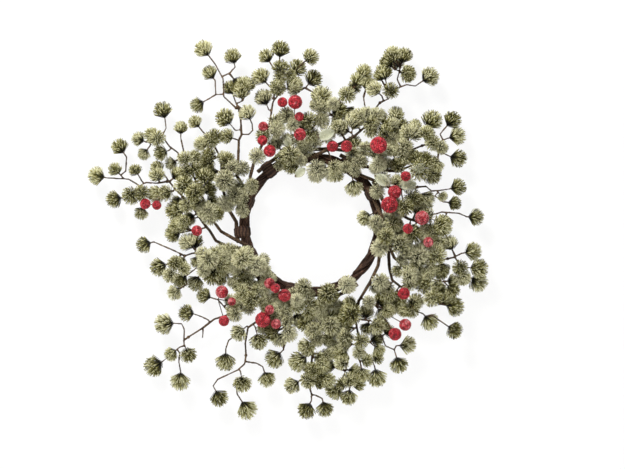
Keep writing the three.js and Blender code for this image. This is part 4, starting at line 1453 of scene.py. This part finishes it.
@dataclass
class Thicket:
    """All branches and sprigs, and the small tufts between them."""

    growths: list[Growth] = field(default_factory=list)
    tree: Optional[KDTree] = None
    squeeze: float = 0.8
    bend_steps: int = 8
    berry_gap: float = 1.2 * MM
    leaf_room: float = 15.0
    closing: float = 2 * MM
    shortest_arm: float = 0.3
    stub: float = 0.5 * MM
    foremost: float = -62 * MM
    hindmost: float = -6 * MM
    owners: list[tuple[Growth, Vector]] = field(default_factory=list)

    def gather(self, reader: TuftReader) -> None:
        """Read every growth of the frame.

        Args:
            reader: What finds tufts.
        """
        for node in sorted(frame["nodes"]):
            if node.startswith(("branch_", "sprig_")):
                growth = Growth(node, body_of(node))
                growth.read(reader)
                self.growths.append(growth)
        for growth in self.growths:
            self.owners.extend((growth, point) for point in growth.wood_points())
        self.tree = KDTree(len(self.owners))
        for index, (_, point) in enumerate(self.owners):
            self.tree.insert((point.x, 0.0, point.z), index)
        self.tree.balance()

    def root(self, right: float, height: float) -> tuple[Growth, Vector]:
        """The wood nearest to a place in the front view.

        Args:
            right: Place along X.
            height: Place along Z.

        Returns:
            The growth and the point on its wood.
        """
        _, index, _ = self.tree.find((right, 0.0, height))
        return self.owners[index]

    def fill(self, fillings: list[Filling]) -> None:
        """Hang extra tufts on the nearest wood.

        Args:
            fillings: The tufts.
        """
        for filling in fillings:
            seen_at = (filling.right, filling.up)
            if any(math.dist(seen_at, (leaf.right, leaf.up)) < self.leaf_room for leaf in LEAVES):
                continue
            right = filling.right * MM
            height = filling.up * MM - READING_DROP
            width = filling.width * MM
            growth, root = self.root(right, height)
            depth = min(max(root.y - filling.lift * MM, self.foremost), self.hindmost)
            target = Vector((right, depth, height))
            arm = target - root
            if arm.length < self.shortest_arm * width:
                arm += FRONT * (self.shortest_arm * width)
            axis = arm.normalized()
            foot = target - axis * (BUD.middle * width)
            if (foot - root).dot(axis) < 0.0:
                foot = root + axis * self.stub
            growth.extra.append((root, TuftSpot(foot, axis, width)))

    def balls(self) -> list[Ball]:
        """Take every tuft as a ball.

        Returns:
            The balls.
        """
        found = []
        for growth in self.growths:
            found += [Ball(growth.body, spot.middle(), BUD.half * spot.width) for spot in growth.spots]
            for twig in growth.extra:
                spot = twig[1]
                found.append(Ball(growth.body, spot.middle(), BUD.half * spot.width, twig))
        return found

    def bends(self, joint: dict[str, Any]) -> list[Matrix]:
        """The turns of a sprig from one end of its range to the other.

        Args:
            joint: The sprig's hinge.

        Returns:
            The turns.
        """
        pin = Matrix.Translation(joint["pos_m"])
        low, high = (math.radians(limit) for limit in joint["range_deg"])
        angles = [low + (high - low) * step / (self.bend_steps - 1) for step in range(self.bend_steps)]
        axis = Vector(joint["axis"])
        return [pin @ Matrix.Rotation(angle, 4, axis) @ pin.inverted() for angle in angles]

    def clear_sweeps(self, berries: list[Ball]) -> int:
        """Leave out the extra tufts that a bending sprig would press into others.

        Args:
            berries: The berries.

        Returns:
            The number of tufts left out.
        """
        balls = self.balls() + berries
        lost: set[int] = set()
        for joint in frame["joints"]:
            turns = self.bends(joint)
            still = [ball for ball in balls if ball.body != joint["child"]]
            for ball in balls:
                if ball.body != joint["child"]:
                    continue
                ways = [turn @ ball.middle for turn in turns]
                for other in still:
                    near = self.squeeze * (ball.radius + other.radius)
                    rest = (ball.middle - other.middle).length
                    closest = min((way - other.middle).length for way in ways)
                    if closest < min(near, rest - self.closing):
                        lost.add(id((other if other.twig else ball).twig))
        before = sum(len(growth.extra) for growth in self.growths)
        for growth in self.growths:
            growth.extra = [twig for twig in growth.extra if id(twig) not in lost]
        return before - sum(len(growth.extra) for growth in self.growths)

    def meet_berries(self, berries: list[Ball]) -> None:
        """Tell each growth where berries come as they, or the growth, bend.

        Args:
            berries: The berries.
        """
        for joint in frame["joints"]:
            turns = self.bends(joint)
            for growth in self.growths:
                for berry in berries:
                    if (growth.body == joint["child"]) == (berry.body == joint["child"]):
                        continue
                    for turn in turns:
                        way = turn if berry.body == joint["child"] else turn.inverted()
                        wide = berry.radius + self.berry_gap
                        growth.berries.append(BerrySpot(way @ berry.middle, wide))

    def hinge(self) -> None:
        """Give each sprig's hinge a bark knuckle on the wood that carries it."""
        fixed = [(growth, point) for growth, point in self.owners if growth.body == RING_BODY]
        tree = KDTree(len(fixed))
        for index, (_, point) in enumerate(fixed):
            tree.insert(point, index)
        tree.balance()
        for joint in frame["joints"]:
            pin = Vector(joint["pos_m"])
            _, index, _ = tree.find(pin)
            growth, root = fixed[index]
            growth.knuckles.append((root, pin))
            next(growth for growth in self.growths if growth.body == joint["child"]).heel = pin


@dataclass
class BerryKit:
    """Sugar-beaded berries of radius one."""

    bead: float = 0.148
    bead_sizes: Span = (0.82, 1.12)
    bead_out: float = 0.75
    pitch: float = 0.245
    skin: float = 0.90
    # the skin between the beads is painted shade, and each bead's outward cap a painted highlight
    shaded_skin_along: float = 0.12
    dusts: Span = (-0.12, 0.16)
    cap_highlight_frost: float = 0.12
    tones: Span = (0.10, 0.52)
    cap_highlight_tone: float = 0.36
    variants: int = 3
    first_seed: int = 300
    berries: list[Mesh] = field(default_factory=list)

    def make(self) -> None:
        """Make the berries."""
        for index in range(self.variants):
            self.berries.append(self.berry(self.first_seed + index))

    def berry(self, seed: int) -> Mesh:
        """Make one berry: a skin, and beads of sugar all over it.

        Args:
            seed: Seed of its irregularity.

        Returns:
            The berry round the origin.
        """
        chance = random.Random(seed)
        shape = bmesh.new()
        shape.verts.layers.float.new("along")
        shape.verts.layers.float.new("frost")
        along = shape.verts.layers.float["along"]
        frost = shape.verts.layers.float["frost"]
        skin = bmesh.ops.create_icosphere(shape, subdivisions=3, radius=self.skin)
        for vert in skin["verts"]:
            vert[along] = self.shaded_skin_along
        count = round(4.0 * math.pi / self.pitch**2)
        for index in range(count):
            level = 1.0 - 2.0 * (index + 0.5) / count
            flat = math.sqrt(1.0 - level * level)
            turn = index * GOLDEN_TURN
            way = Vector((flat * math.cos(turn), flat * math.sin(turn), level))
            where = way * (1.0 - self.bead_out * self.bead)
            size = self.bead * chance.uniform(*self.bead_sizes)
            made = bmesh.ops.create_icosphere(
                shape, subdivisions=1, radius=size, matrix=Matrix.Translation(where)
            )
            dust = chance.uniform(*self.dusts)
            tone = chance.uniform(*self.tones)
            for vert in made["verts"]:
                out = (vert.co - where).normalized().dot(way)
                # each bead is painted lighter, and more sugared, towards its outward cap: a painted
                # highlight
                vert[along] = tone + self.cap_highlight_tone * out
                vert[frost] = dust + self.cap_highlight_frost * out
        mesh = bpy.data.meshes.new("berry")
        shape.to_mesh(mesh)
        shape.free()
        return mesh


@dataclass
class BerryPick:
    """A wired pick: bark-brown wire stems with sugar-beaded berries."""

    node: str
    body: str
    thin: float = 2.0 * MM
    swell: float = 0.3 * MM
    bridge: float = 0.9 * MM
    voxel: float = 0.6 * MM
    smoothing: int = 3
    fewest_points: int = 8
    fit_rounds: int = 40
    skin_band: Span = (0.9, 1.01)
    sunk: float = 0.35
    sugars: tuple[float, ...] = (0.0, 0.0, 0.02, 0.05, 0.10, 0.22)
    # one side of each sugared berry, towards the front, left and top where the key lamp stands, takes more
    # sugar: partly sugar and partly a painted highlight
    lit_side_sugar: float = 0.45
    lit_side_leans: tuple[Span, Span, Span] = ((-1.0, 0.6), (-1.0, 0.2), (-0.6, 1.0))

    def round_faces(self, shape: BMesh) -> set[BMFace]:
        """Find the faces of the berries, which are broader than those of the wire.

        Args:
            shape: The pick, joined.

        Returns:
            The faces.
        """
        return {
            face
            for face in shape.faces
            if 2.0 * face.calc_area() / max(edge.calc_length() for edge in face.edges) > self.thin
        }

    def berries(self, shape: BMesh) -> list[BerrySpot]:
        """Find the berries of the pick.

        Args:
            shape: The pick, joined.

        Returns:
            Their middles and radii, from left to right.
        """
        shape.verts.index_update()
        left = self.round_faces(shape)
        found = []
        while left:
            group = {left.pop()}
            edge = list(group)
            while edge:
                verts = edge.pop().verts
                near = {face for vert in verts for face in vert.link_faces} & left
                left -= near
                group |= near
                edge.extend(near)
            points = {vert.index: vert.co for face in group for vert in face.verts}
            if len(points) >= self.fewest_points:
                found.append(self.sphere([points[index] for index in sorted(points)]))
        return sorted(found, key=lambda spot: spot.middle.x)

    def sphere(self, points: list[Vector]) -> BerrySpot:
        """Fit a sphere to points on it.

        Args:
            points: The points.

        Returns:
            The sphere.
        """
        centre = sum(points, Vector()) / len(points)
        for _ in range(self.fit_rounds):
            radius = sum((point - centre).length for point in points) / len(points)
            arms = [point - centre for point in points]
            pull = sum((arm * (1.0 - radius / arm.length) for arm in arms), Vector())
            centre = centre + pull * (2.0 / len(points))
        return BerrySpot(centre, sum((point - centre).length for point in points) / len(points))

    def balls(self) -> list[Ball]:
        """Take the pick's berries as balls.

        Returns:
            The balls.
        """
        shape = merged_copy(self.node)
        found = [Ball(self.body, berry.middle, berry.radius) for berry in self.berries(shape)]
        shape.free()
        return found

    def wires(self, shape: BMesh, berries: list[BerrySpot]) -> Mesh:
        """Make the wire stems, which end inside the berries.

        Args:
            shape: The pick, joined, freed here.
            berries: Its berries.

        Returns:
            The stems.
        """
        for vert in shape.verts:
            for berry in berries:
                arm = vert.co - berry.middle
                low, high = (share * berry.radius for share in self.skin_band)
                if low < arm.length < high:
                    vert.co = berry.middle + arm * self.sunk
        shape.normal_update()
        for vert in shape.verts:
            vert.co += vert.normal * self.swell
        return remeshed(shape, self.voxel, self.smoothing)

    def add_berry(self, shape: BMesh, berry: BerrySpot, kit: BerryKit, chance: random.Random) -> None:
        """Add one berry.

        Args:
            shape: The pick's mesh.
            berry: The berry.
            kit: The berries of radius one.
            chance: Source of its irregularity.
        """
        before = len(shape.verts)
        shape.from_mesh(chance.choice(kit.berries))
        shape.verts.ensure_lookup_table()
        fresh = shape.verts[before:]
        pole = Vector([chance.uniform(-1.0, 1.0) for _ in range(3)])
        spin = pole.to_track_quat("Z", "Y").to_matrix().to_4x4()
        size = Matrix.Scale(berry.radius, 4)
        bmesh.ops.transform(shape, matrix=Matrix.Translation(berry.middle) @ spin @ size, verts=fresh)
        layer = shape.verts.layers.float["frost"]
        sugar = chance.choice(self.sugars)
        # painted highlight: more sugar on the side towards the key lamp
        lit_side = Vector([chance.uniform(*span) for span in self.lit_side_leans]).normalized()
        for vert in fresh:
            way = (vert.co - berry.middle) / berry.radius
            vert[layer] = max(0.0, vert[layer] + sugar + self.lit_side_sugar * sugar * way.dot(lit_side))

    def build(self, kit: BerryKit, finishes: Finishes) -> Object:
        """Make the pick as one piece that stands for its node.

        Args:
            kit: The berries of radius one.
            finishes: The wreath's materials.

        Returns:
            The piece.
        """
        chance = random.Random(self.node)
        cad = merged_copy(self.node)
        berries = self.berries(cad)
        shape = joined_up(self.wires(cad, berries), self.bridge, self.node)
        shape.verts.layers.float.new("along")
        shape.verts.layers.float.new("frost")
        wire = len(shape.faces)
        for berry in berries:
            self.add_berry(shape, berry, kit, chance)
        shape.faces.ensure_lookup_table()
        for index, face in enumerate(shape.faces):
            face.material_index = PickSlot.WIRE if index < wire else PickSlot.BERRY
        piece = finished(shape, f"{self.node}_berries", [finishes.twig, finishes.berry])
        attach(piece, self.body)
        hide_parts(self.node)
        LOG.info("%s: %d berries", self.node, len(berries))
        return piece


@dataclass
class VineStrand:
    """One strand of the ring, with grooved bark."""

    node: str
    index: int
    ring_radius: float = 101 * MM
    lay_radius: float = 5.25 * MM
    turns: int = 5
    phase: float = math.radians(90)
    levels: int = 3
    swell: float = 0.62 * MM
    groove: float = 0.55 * MM
    grooves: int = 7
    groove_middle: float = 0.7
    drift: float = 4.4
    drifts: float = 7.0
    drift_apart: float = 5.0
    lump: float = 0.35 * MM
    lumps: float = 24.0
    lump_round: float = 1.5
    ridge_light: float = 0.75
    lump_light: float = 0.5

    def around(self, point: Vector) -> Span:
        """Place of a point on the strand's skin.

        Args:
            point: The point.

        Returns:
            Angle along the ring, and angle round the strand.
        """
        arm = point - RING_CENTRE
        clock = math.atan2(arm.x, arm.z)
        roll = self.index * self.phase + clock * self.turns
        out = math.hypot(arm.x, arm.z) - self.ring_radius - self.lay_radius * math.cos(roll)
        ahead = -arm.y - self.lay_radius * math.sin(roll)
        return clock, math.atan2(ahead, out) - roll

    def build(self, finishes: Finishes) -> Object:
        """Make the strand as a piece that stands for its node.

        Args:
            finishes: The wreath's materials.

        Returns:
            The piece.
        """
        cad = merged_copy(self.node)
        bmesh.ops.join_triangles(
            cad, faces=cad.faces, angle_face_threshold=math.pi, angle_shape_threshold=math.pi
        )
        mesh = modified(cad, [("SUBSURF", {"levels": self.levels, "render_levels": self.levels})])
        shape = bmesh.new()
        shape.from_mesh(mesh)
        shape.normal_update()
        layer = shape.verts.layers.float.new("ridge")
        for vert in shape.verts:
            clock, turn = self.around(vert.co)
            side, front = math.cos(turn), math.sin(turn)
            where = Vector((clock * self.drifts, self.index * self.drift_apart, side))
            drift = self.drift * noise.noise(where)
            ridge = 0.5 + 0.5 * math.cos(self.grooves * turn + drift)
            lump = noise.noise(
                Vector((clock * self.lumps, side * self.lump_round, front * self.lump_round + self.index))
            )
            # the ridge attribute paints shade into the sunk grooves and a lighter colour, partly wear and
            # partly a painted highlight, onto the raised ridges
            vert[layer] = ridge * (self.ridge_light + self.lump_light * lump)
            raised = self.swell + self.groove * (ridge - self.groove_middle) + self.lump * lump
            vert.co += vert.normal * raised
        piece = finished(shape, f"{self.node}_bark", [finishes.vine])
        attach(piece, RING_BODY)
        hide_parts(self.node)
        return piece


@dataclass
class TapeBinding:
    """Crepe stem tape wound round the ring and the branch butts, drawn in at its ends."""

    node: str
    laps: int = 5
    step: float = 0.30 * MM
    creases: int = 13
    crease: float = 0.55 * MM
    crease_middle: float = 0.6
    crease_drift: float = 3.0
    lap_middle: float = 0.35
    lap_sway: float = 0.16
    sways: float = 3.0
    crease_light: float = 0.75
    lap_light: float = 0.25
    tight: float = 0.08
    pinch: float = 0.24
    pinch_from: float = 0.4
    drifts: float = 130.0
    grit: float = 0.2 * MM
    grits: float = 420.0
    spans: int = 12
    sectors: int = 18
    cut_slack: float = 0.001 * MM

    def cut(self, shape: BMesh, place: Vector, across: Vector) -> None:
        """Cut new edges into the tape along a plane.

        Args:
            shape: The tape.
            place: A point on the plane.
            across: The plane's direction.
        """
        everything = [*shape.verts, *shape.edges, *shape.faces]
        bmesh.ops.bisect_plane(
            shape, geom=everything, dist=self.cut_slack, plane_co=place, plane_no=across.normalized()
        )

    def build(self, finishes: Finishes) -> Object:
        """Make the binding as a piece that stands for its node.

        Args:
            finishes: The wreath's materials.

        Returns:
            The piece.
        """
        cad = merged_copy(self.node)
        middle = sum((vert.co for vert in cad.verts), Vector()) / len(cad.verts)
        out = middle - RING_CENTRE
        out.y = 0.0
        out.normalize()
        run = out.cross(FRONT)
        places = [(vert.co - middle).dot(run) for vert in cad.verts]
        low, length = min(places), max(places) - min(places)
        for index in range(1, self.spans):
            self.cut(cad, middle + run * (low + length * index / self.spans), run)
        for index in range(self.sectors):
            turn = math.pi * index / self.sectors
            self.cut(cad, middle, out * math.cos(turn) + FRONT * math.sin(turn))
        mesh = modified(cad, [("SUBSURF", {"levels": 1, "render_levels": 1})])
        shape = bmesh.new()
        shape.from_mesh(mesh)
        shape.normal_update()
        layer = shape.verts.layers.float.new("ridge")
        for vert in shape.verts:
            arm = vert.co - middle
            place = (arm.dot(run) - low) / length
            turn = math.atan2(arm.dot(FRONT), arm.dot(out))
            drift = noise.noise(vert.co * self.drifts)
            crease = 0.5 + 0.5 * math.cos(self.creases * turn + self.crease_drift * drift)
            lap = place * self.laps + self.lap_sway * math.sin(self.sways * turn)
            lap -= math.floor(lap)
            end = max(0.0, abs(2.0 * place - 1.0) - self.pinch_from) / (1.0 - self.pinch_from)
            inward = (arm - run * arm.dot(run)) * (self.tight + self.pinch * end * end)
            raised = self.step * (lap - self.lap_middle) + self.crease * (crease - self.crease_middle)
            raised += self.grit * noise.noise(vert.co * self.grits)
            # the ridge attribute follows the tape's height: painted shade in the creases and low laps, a
            # painted highlight on the raised ones
            vert[layer] = self.crease_light * crease + self.lap_light * lap
            vert.co += vert.normal * raised - inward
        piece = finished(shape, f"{self.node}_wrap", [finishes.tape])
        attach(piece, RING_BODY)
        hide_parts(self.node)
        return piece


@dataclass
class FrostedLeaf:
    """A flocked leaf on a short stalk, cupped along its middle vein: place and size in mm."""

    name: str
    right: float
    up: float
    length: float
    width: float
    turn: float
    lift: float = 24.0
    lengthwise: int = 12
    crosswise: int = 8
    blunt: float = 0.02
    fullness: float = 0.7
    cup: float = 0.22
    droop: float = 0.9
    crinkle: float = 0.10
    crinkles: float = 6.0
    thickness: float = 0.9 * MM
    vein_bloom: float = 0.25
    edge_bloom: float = 0.75
    foot_bloom: float = 0.7
    tip_bloom: float = 0.3
    stalk_at: float = -0.46
    stalk_radii: Span = (1.5 * MM, 0.9 * MM)
    face_order: tuple[float, float, float] = (1.0, 0.37, 0.61)

    def build(self, thicket: Thicket, finishes: Finishes) -> Object:
        """Make the leaf on the wood nearest to it.

        Args:
            thicket: The growths.
            finishes: The wreath's materials.

        Returns:
            The piece.
        """
        spot = Vector((self.right * MM, 0.0, self.up * MM - READING_DROP))
        growth, root = thicket.root(spot.x, spot.z)
        spot.y = root.y - self.lift * MM
        shape = bmesh.new()
        bmesh.ops.create_grid(shape, x_segments=self.lengthwise, y_segments=self.crosswise, size=0.5)
        layer = shape.verts.layers.float.new("along")
        for vert in shape.verts:
            along = vert.co.x + 0.5
            half = math.sin(math.pi * min(max(along, self.blunt), 1.0 - self.blunt)) ** self.fullness
            across = 2.0 * vert.co.y
            crinkle = noise.noise(
                Vector((vert.co.x * self.crinkles, vert.co.y * self.crinkles, self.right))
            )
            rise = self.cup * across * across * half - self.droop * vert.co.x**2 + self.crinkle * crinkle
            bloom = min(1.0, self.vein_bloom + self.edge_bloom * abs(across))
            vert[layer] = bloom * (self.foot_bloom + self.tip_bloom * along)
            vert.co = Vector((
                vert.co.x * self.length * MM,
                across * half * 0.5 * self.width * MM,
                rise * self.width * MM,
            ))
        bmesh.ops.solidify(shape, geom=shape.faces, thickness=self.thickness)
        # the rim's faces come in another order each run, so all are sorted along a slanted line
        shape.faces.sort(key=lambda face: face.calc_center_median().dot(self.face_order))
        tilt = Matrix.Rotation(math.radians(90), 4, "X") @ Matrix.Rotation(math.radians(self.turn), 4, "Z")
        place = Matrix.Translation(spot) @ tilt
        bmesh.ops.transform(shape, matrix=place, verts=shape.verts)
        stalk = place @ Vector((self.stalk_at * self.length * MM, 0.0, 0.0))
        for face in shape.faces:
            face.material_index = LeafSlot.BLADE
        before = len(shape.faces)
        add_rod(shape, root, stalk, self.stalk_radii)
        shape.faces.ensure_lookup_table()
        for face in shape.faces[before:]:
            face.material_index = LeafSlot.STALK
        bmesh.ops.recalc_face_normals(shape, faces=shape.faces)
        piece = finished(shape, self.name, [finishes.leaf, finishes.twig])
        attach(piece, growth.body)
        return piece


@dataclass(frozen=True)
class Lamp:
    """A soft square lamp: its middle, its side, its power in watts and its colour."""

    name: str
    place: tuple[float, float, float]
    size: float
    power: float
    warmth: Colour


@dataclass
class Studio:
    """White wall, pale floor, soft lamps and the camera."""

    distance: float = 3.0
    sensor: float = 36.0
    frame_width: float = 0.9375
    middle: Vector = field(default_factory=lambda: Vector((0.0015, 0.0, -0.10725)))
    nearest: float = 0.05
    farthest: float = 30.0
    floor_height: float = -0.47
    floor_half: float = 3.0
    floor_white: float = 0.85
    wall_depth: float = 0.0125
    wall_half: float = 2.0
    wall_white: float = 0.9
    paper_colour: Colour = (0.9, 0.9, 0.89, 1.0)
    paper_dull: float = 0.95
    white: Colour = (1.0, 1.0, 1.0, 1.0)
    sky_level: float = 0.09

    def paper(self, name: str, own: float, both: bool) -> Material:
        """White paper that reads as white and still takes a soft shadow.

        Args:
            name: The material's name.
            own: Share of white that shows whatever the light.
            both: Whether the paper stops light and is there from its back too.

        Returns:
            The material.
        """
        shader = SurfaceShader(name)
        shader.dress(Base_Color=self.paper_colour, Roughness=self.paper_dull)
        path = shader.node("ShaderNodeLightPath")
        camera = Signal(shader, path.outputs["Is Camera Ray"])
        seen = shader.math("MAXIMUM", camera, Signal(shader, path.outputs["Is Glossy Ray"]))
        glow = shader.node("ShaderNodeEmission", None, {"Color": self.white, "Strength": 1.0})
        lit = shader.node(
            "ShaderNodeMixShader", None, {0: seen * own, 1: shader.surface.outputs[0], 2: glow.outputs[0]}
        )
        result = lit.outputs[0]
        if not both:
            back = Signal(shader, shader.node("ShaderNodeNewGeometry").outputs["Backfacing"])
            open_to = shader.math("MAXIMUM", back, Signal(shader, path.outputs["Is Shadow Ray"]))
            clear = shader.node("ShaderNodeBsdfTransparent")
            result = shader.node(
                "ShaderNodeMixShader", None, {0: open_to, 1: result, 2: clear.outputs[0]}
            ).outputs[0]
        output = shader.tree.nodes["Material Output"]
        shader.feed(output.inputs["Surface"], result)
        return shader.material

    def sheet(self, name: str, place: Matrix, size: float, material: Material) -> Object:
        """Add a flat sheet of the stage.

        Args:
            name: The sheet's name.
            place: Its placing, face along Z.
            size: Half its side.
            material: Its material.

        Returns:
            The sheet.
        """
        shape = bmesh.new()
        bmesh.ops.create_grid(shape, x_segments=4, y_segments=4, size=size)
        bmesh.ops.transform(shape, matrix=place, verts=shape.verts)
        piece = finished(shape, name, [material])
        return piece

    def hang(self, lamp: Lamp) -> None:
        """Hang a lamp that faces the wreath.

        Args:
            lamp: The lamp.
        """
        light = bpy.data.lights.new(lamp.name, "AREA")
        light.size = lamp.size
        light.energy = lamp.power
        light.color = lamp.warmth[:3]
        hung = bpy.data.objects.new(lamp.name, light)
        hung.location = lamp.place
        hung.rotation_euler = (self.middle - hung.location).to_track_quat("-Z", "Y").to_euler()
        bpy.context.scene.collection.objects.link(hung)

    def sky(self) -> None:
        """Even light all round, white to the camera."""
        world = bpy.data.worlds.new("studio")
        world.use_nodes = True
        shader = Shader(world.node_tree)
        ground = shader.tree.nodes["Background"]
        seen = Signal(shader, shader.node("ShaderNodeLightPath").outputs["Is Camera Ray"])
        shader.feed(ground.inputs["Color"], self.white)
        shader.feed(ground.inputs["Strength"], self.sky_level + (1.0 - self.sky_level) * seen)
        bpy.context.scene.world = world

    def camera(self) -> None:
        """Set the camera square to the wreath, as far as a long lens stands."""
        lens = bpy.data.cameras.new("camera")
        lens.sensor_width = self.sensor
        lens.lens = self.sensor * self.distance / self.frame_width
        lens.clip_start = self.nearest
        lens.clip_end = self.farthest
        held = bpy.data.objects.new("camera", lens)
        held.location = self.middle + FRONT * self.distance
        held.rotation_euler = (math.radians(90), 0.0, 0.0)
        bpy.context.scene.collection.objects.link(held)
        bpy.context.scene.camera = held

    def build(self) -> None:
        """Set up the whole studio."""
        scene = bpy.context.scene
        scene.view_settings.view_transform = "Standard"
        upright = Matrix.Rotation(math.radians(90), 4, "X")
        wall = Matrix.Translation((0.0, self.wall_depth, self.floor_height + self.wall_half)) @ upright
        self.sheet("wall_paper", wall, self.wall_half, self.paper("wall_white", self.wall_white, False))
        floor = Matrix.Translation((0.0, 0.0, self.floor_height))
        self.sheet("floor_paper", floor, self.floor_half, self.paper("floor_white", self.floor_white, True))
        for lamp in LAMPS:
            self.hang(lamp)
        self.sky()
        self.camera()


LAMPS = [
    Lamp("key_lamp", (-0.8, -1.6, 1.5), 0.6, 74.0, (1.0, 0.985, 0.96, 1.0)),
    Lamp("fill_lamp", (1.5, -1.8, 0.2), 1.4, 8.0, (0.97, 0.985, 1.0, 1.0)),
    Lamp("back_lamp", (0.9, 1.9, 0.9), 1.2, 30.0, (1.0, 1.0, 1.0, 1.0)),
]

FILLINGS = [
    Filling(-229, 133), Filling(-202, 4), Filling(-218, 24, 20), Filling(-217, 52), Filling(-253, 52),
    Filling(-206, 74, 24), Filling(-154, 98), Filling(-151, 16), Filling(-151, 131), Filling(-51, 209),
    Filling(15, 160), Filling(5, 129), Filling(143, 143), Filling(89, 155), Filling(153, 47),
    Filling(141, -32), Filling(147, -81), Filling(57, -113), Filling(-29, -111), Filling(-21, -116),
    Filling(-52, -129), Filling(-171, -28), Filling(-195, -36), Filling(-191, 4), Filling(95, 8),
    Filling(-5, -227), Filling(2, -212), Filling(-104, 194), Filling(-43, 204), Filling(-38, 168),
    Filling(-8, 116), Filling(17, 178), Filling(-27, 154), Filling(40, 150), Filling(155, 104),
    Filling(172, 141), Filling(180, -6), Filling(174, -64), Filling(167, -86), Filling(178, -105),
    Filling(206, -76), Filling(81, -134), Filling(74, -168), Filling(57, -226), Filling(-46, -118),
    Filling(-183, -50), Filling(-186, 34), Filling(-209, 92), Filling(-173, 88), Filling(-131, 36),
    Filling(-144, 136), Filling(118, 204), Filling(144, 230), Filling(215, -42),
]

BANKS = [
    Bank(-160, 66, 74, 42, 26, lift=(-12.0, 3.0)),
    Bank(-100, 44, 16, 22, 5),
    Bank(-178, 24, 40, 14, 6),
    Bank(-36, 138, 36, 36, 11),
    Bank(8, 90, 66, 12, 12, 22),
    Bank(76, 117, 24, 8, 4),
    Bank(30, 182, 32, 22, 7),
    Bank(-108, 210, 18, 18, 3),
    Bank(-34, 214, 22, 14, 4),
    Bank(100, 152, 56, 20, 11),
    Bank(142, 122, 42, 18, 9),
    Bank(108, 100, 46, 16, 10),
    Bank(168, 94, 20, 18, 4),
    Bank(146, 50, 32, 24, 8),
    Bank(84, 220, 26, 14, 4),
    Bank(128, 246, 16, 18, 4),
    Bank(124, 4, 24, 26, 8),
    Bank(178, 2, 26, 16, 5),
    Bank(-140, -50, 70, 20, 22),
    Bank(-100, -70, 44, 14, 8),
    Bank(-90, -100, 26, 20, 7),
    Bank(-25, -120, 48, 25, 15, lift=(-4.0, 14.0)),
    Bank(-112, -114, 14, 12, 3),
    Bank(-54, -150, 22, 12, 4),
    Bank(-186, -26, 20, 10, 3),
    Bank(30, -120, 46, 11, 10, lift=(-4.0, 14.0)),
    Bank(46, -147, 56, 27, 18, lift=(-2.0, 16.0)),
    Bank(10, -186, 24, 36, 9),
    Bank(60, -190, 40, 18, 7),
    Bank(34, -226, 38, 20, 7),
    Bank(166, -58, 40, 24, 13),
    Bank(200, -80, 32, 32, 9),
    Bank(172, -20, 36, 14, 6),
    Bank(120, -18, 16, 10, 3),
    Bank(130, -110, 26, 18, 6),
    Bank(104, -84, 14, 10, 3),
    Bank(96, -140, 22, 34, 8),
]

LEAVES = [
    FrostedLeaf("leaf_right_upper", 105, 71, 28, 17, -32),
    FrostedLeaf("leaf_right", 143, 64, 25, 16, 10),
    FrostedLeaf("leaf_top", 22, 138, 26, 17, 25),
    FrostedLeaf("leaf_top_inner", -17, 82, 20, 13, 40),
    FrostedLeaf("leaf_top_left", -36, 129, 20, 13, 115),
    FrostedLeaf("leaf_right_top", 160, 88, 22, 14, 35),
]


def main() -> None:
    """Build the wreath piece by piece, then the studio."""
    logging.basicConfig(level=logging.INFO, format="%(message)s")
    finishes = Finishes.mixed()
    for index in range(VINE_STRANDS):
        VineStrand(f"vine_strand_{index + 1}", index).build(finishes)
        LOG.info("vine strand %d", index + 1)
    for index in range(TAPE_BINDINGS):
        TapeBinding(f"tape_binding_{index + 1}").build(finishes)
        LOG.info("tape binding %d", index + 1)
    hoop = frame["nodes"]["core_hoop"]
    hoop.data.materials.clear()
    hoop.data.materials.append(finishes.wire)
    LOG.info("core hoop")
    kit = NeedleKit()
    kit.make()
    thicket = Thicket()
    thicket.gather(TuftReader())
    thicket.fill(FILLINGS)
    for index, bank in enumerate(BANKS):
        thicket.fill(bank.fillings(index))
    nodes = [node for node in sorted(frame["nodes"]) if node.startswith("berry_pick_")]
    picks = [BerryPick(node, body_of(node)) for node in nodes]
    balls = [ball for pick in picks for ball in pick.balls()]
    left_out = thicket.clear_sweeps(balls)
    thicket.meet_berries(balls)
    LOG.info("%d tufts left out of the sprigs' way", left_out)
    thicket.hinge()
    for growth in thicket.growths:
        growth.build(kit, finishes)
        LOG.info("%s: %d tufts and %d more", growth.node, len(growth.spots), len(growth.extra))
    berries = BerryKit()
    berries.make()
    for pick in picks:
        pick.build(berries, finishes)
    for leaf in LEAVES:
        leaf.build(thicket, finishes)
        LOG.info("%s", leaf.name)
    Studio().build()


if __name__ == "__main__":
    main()
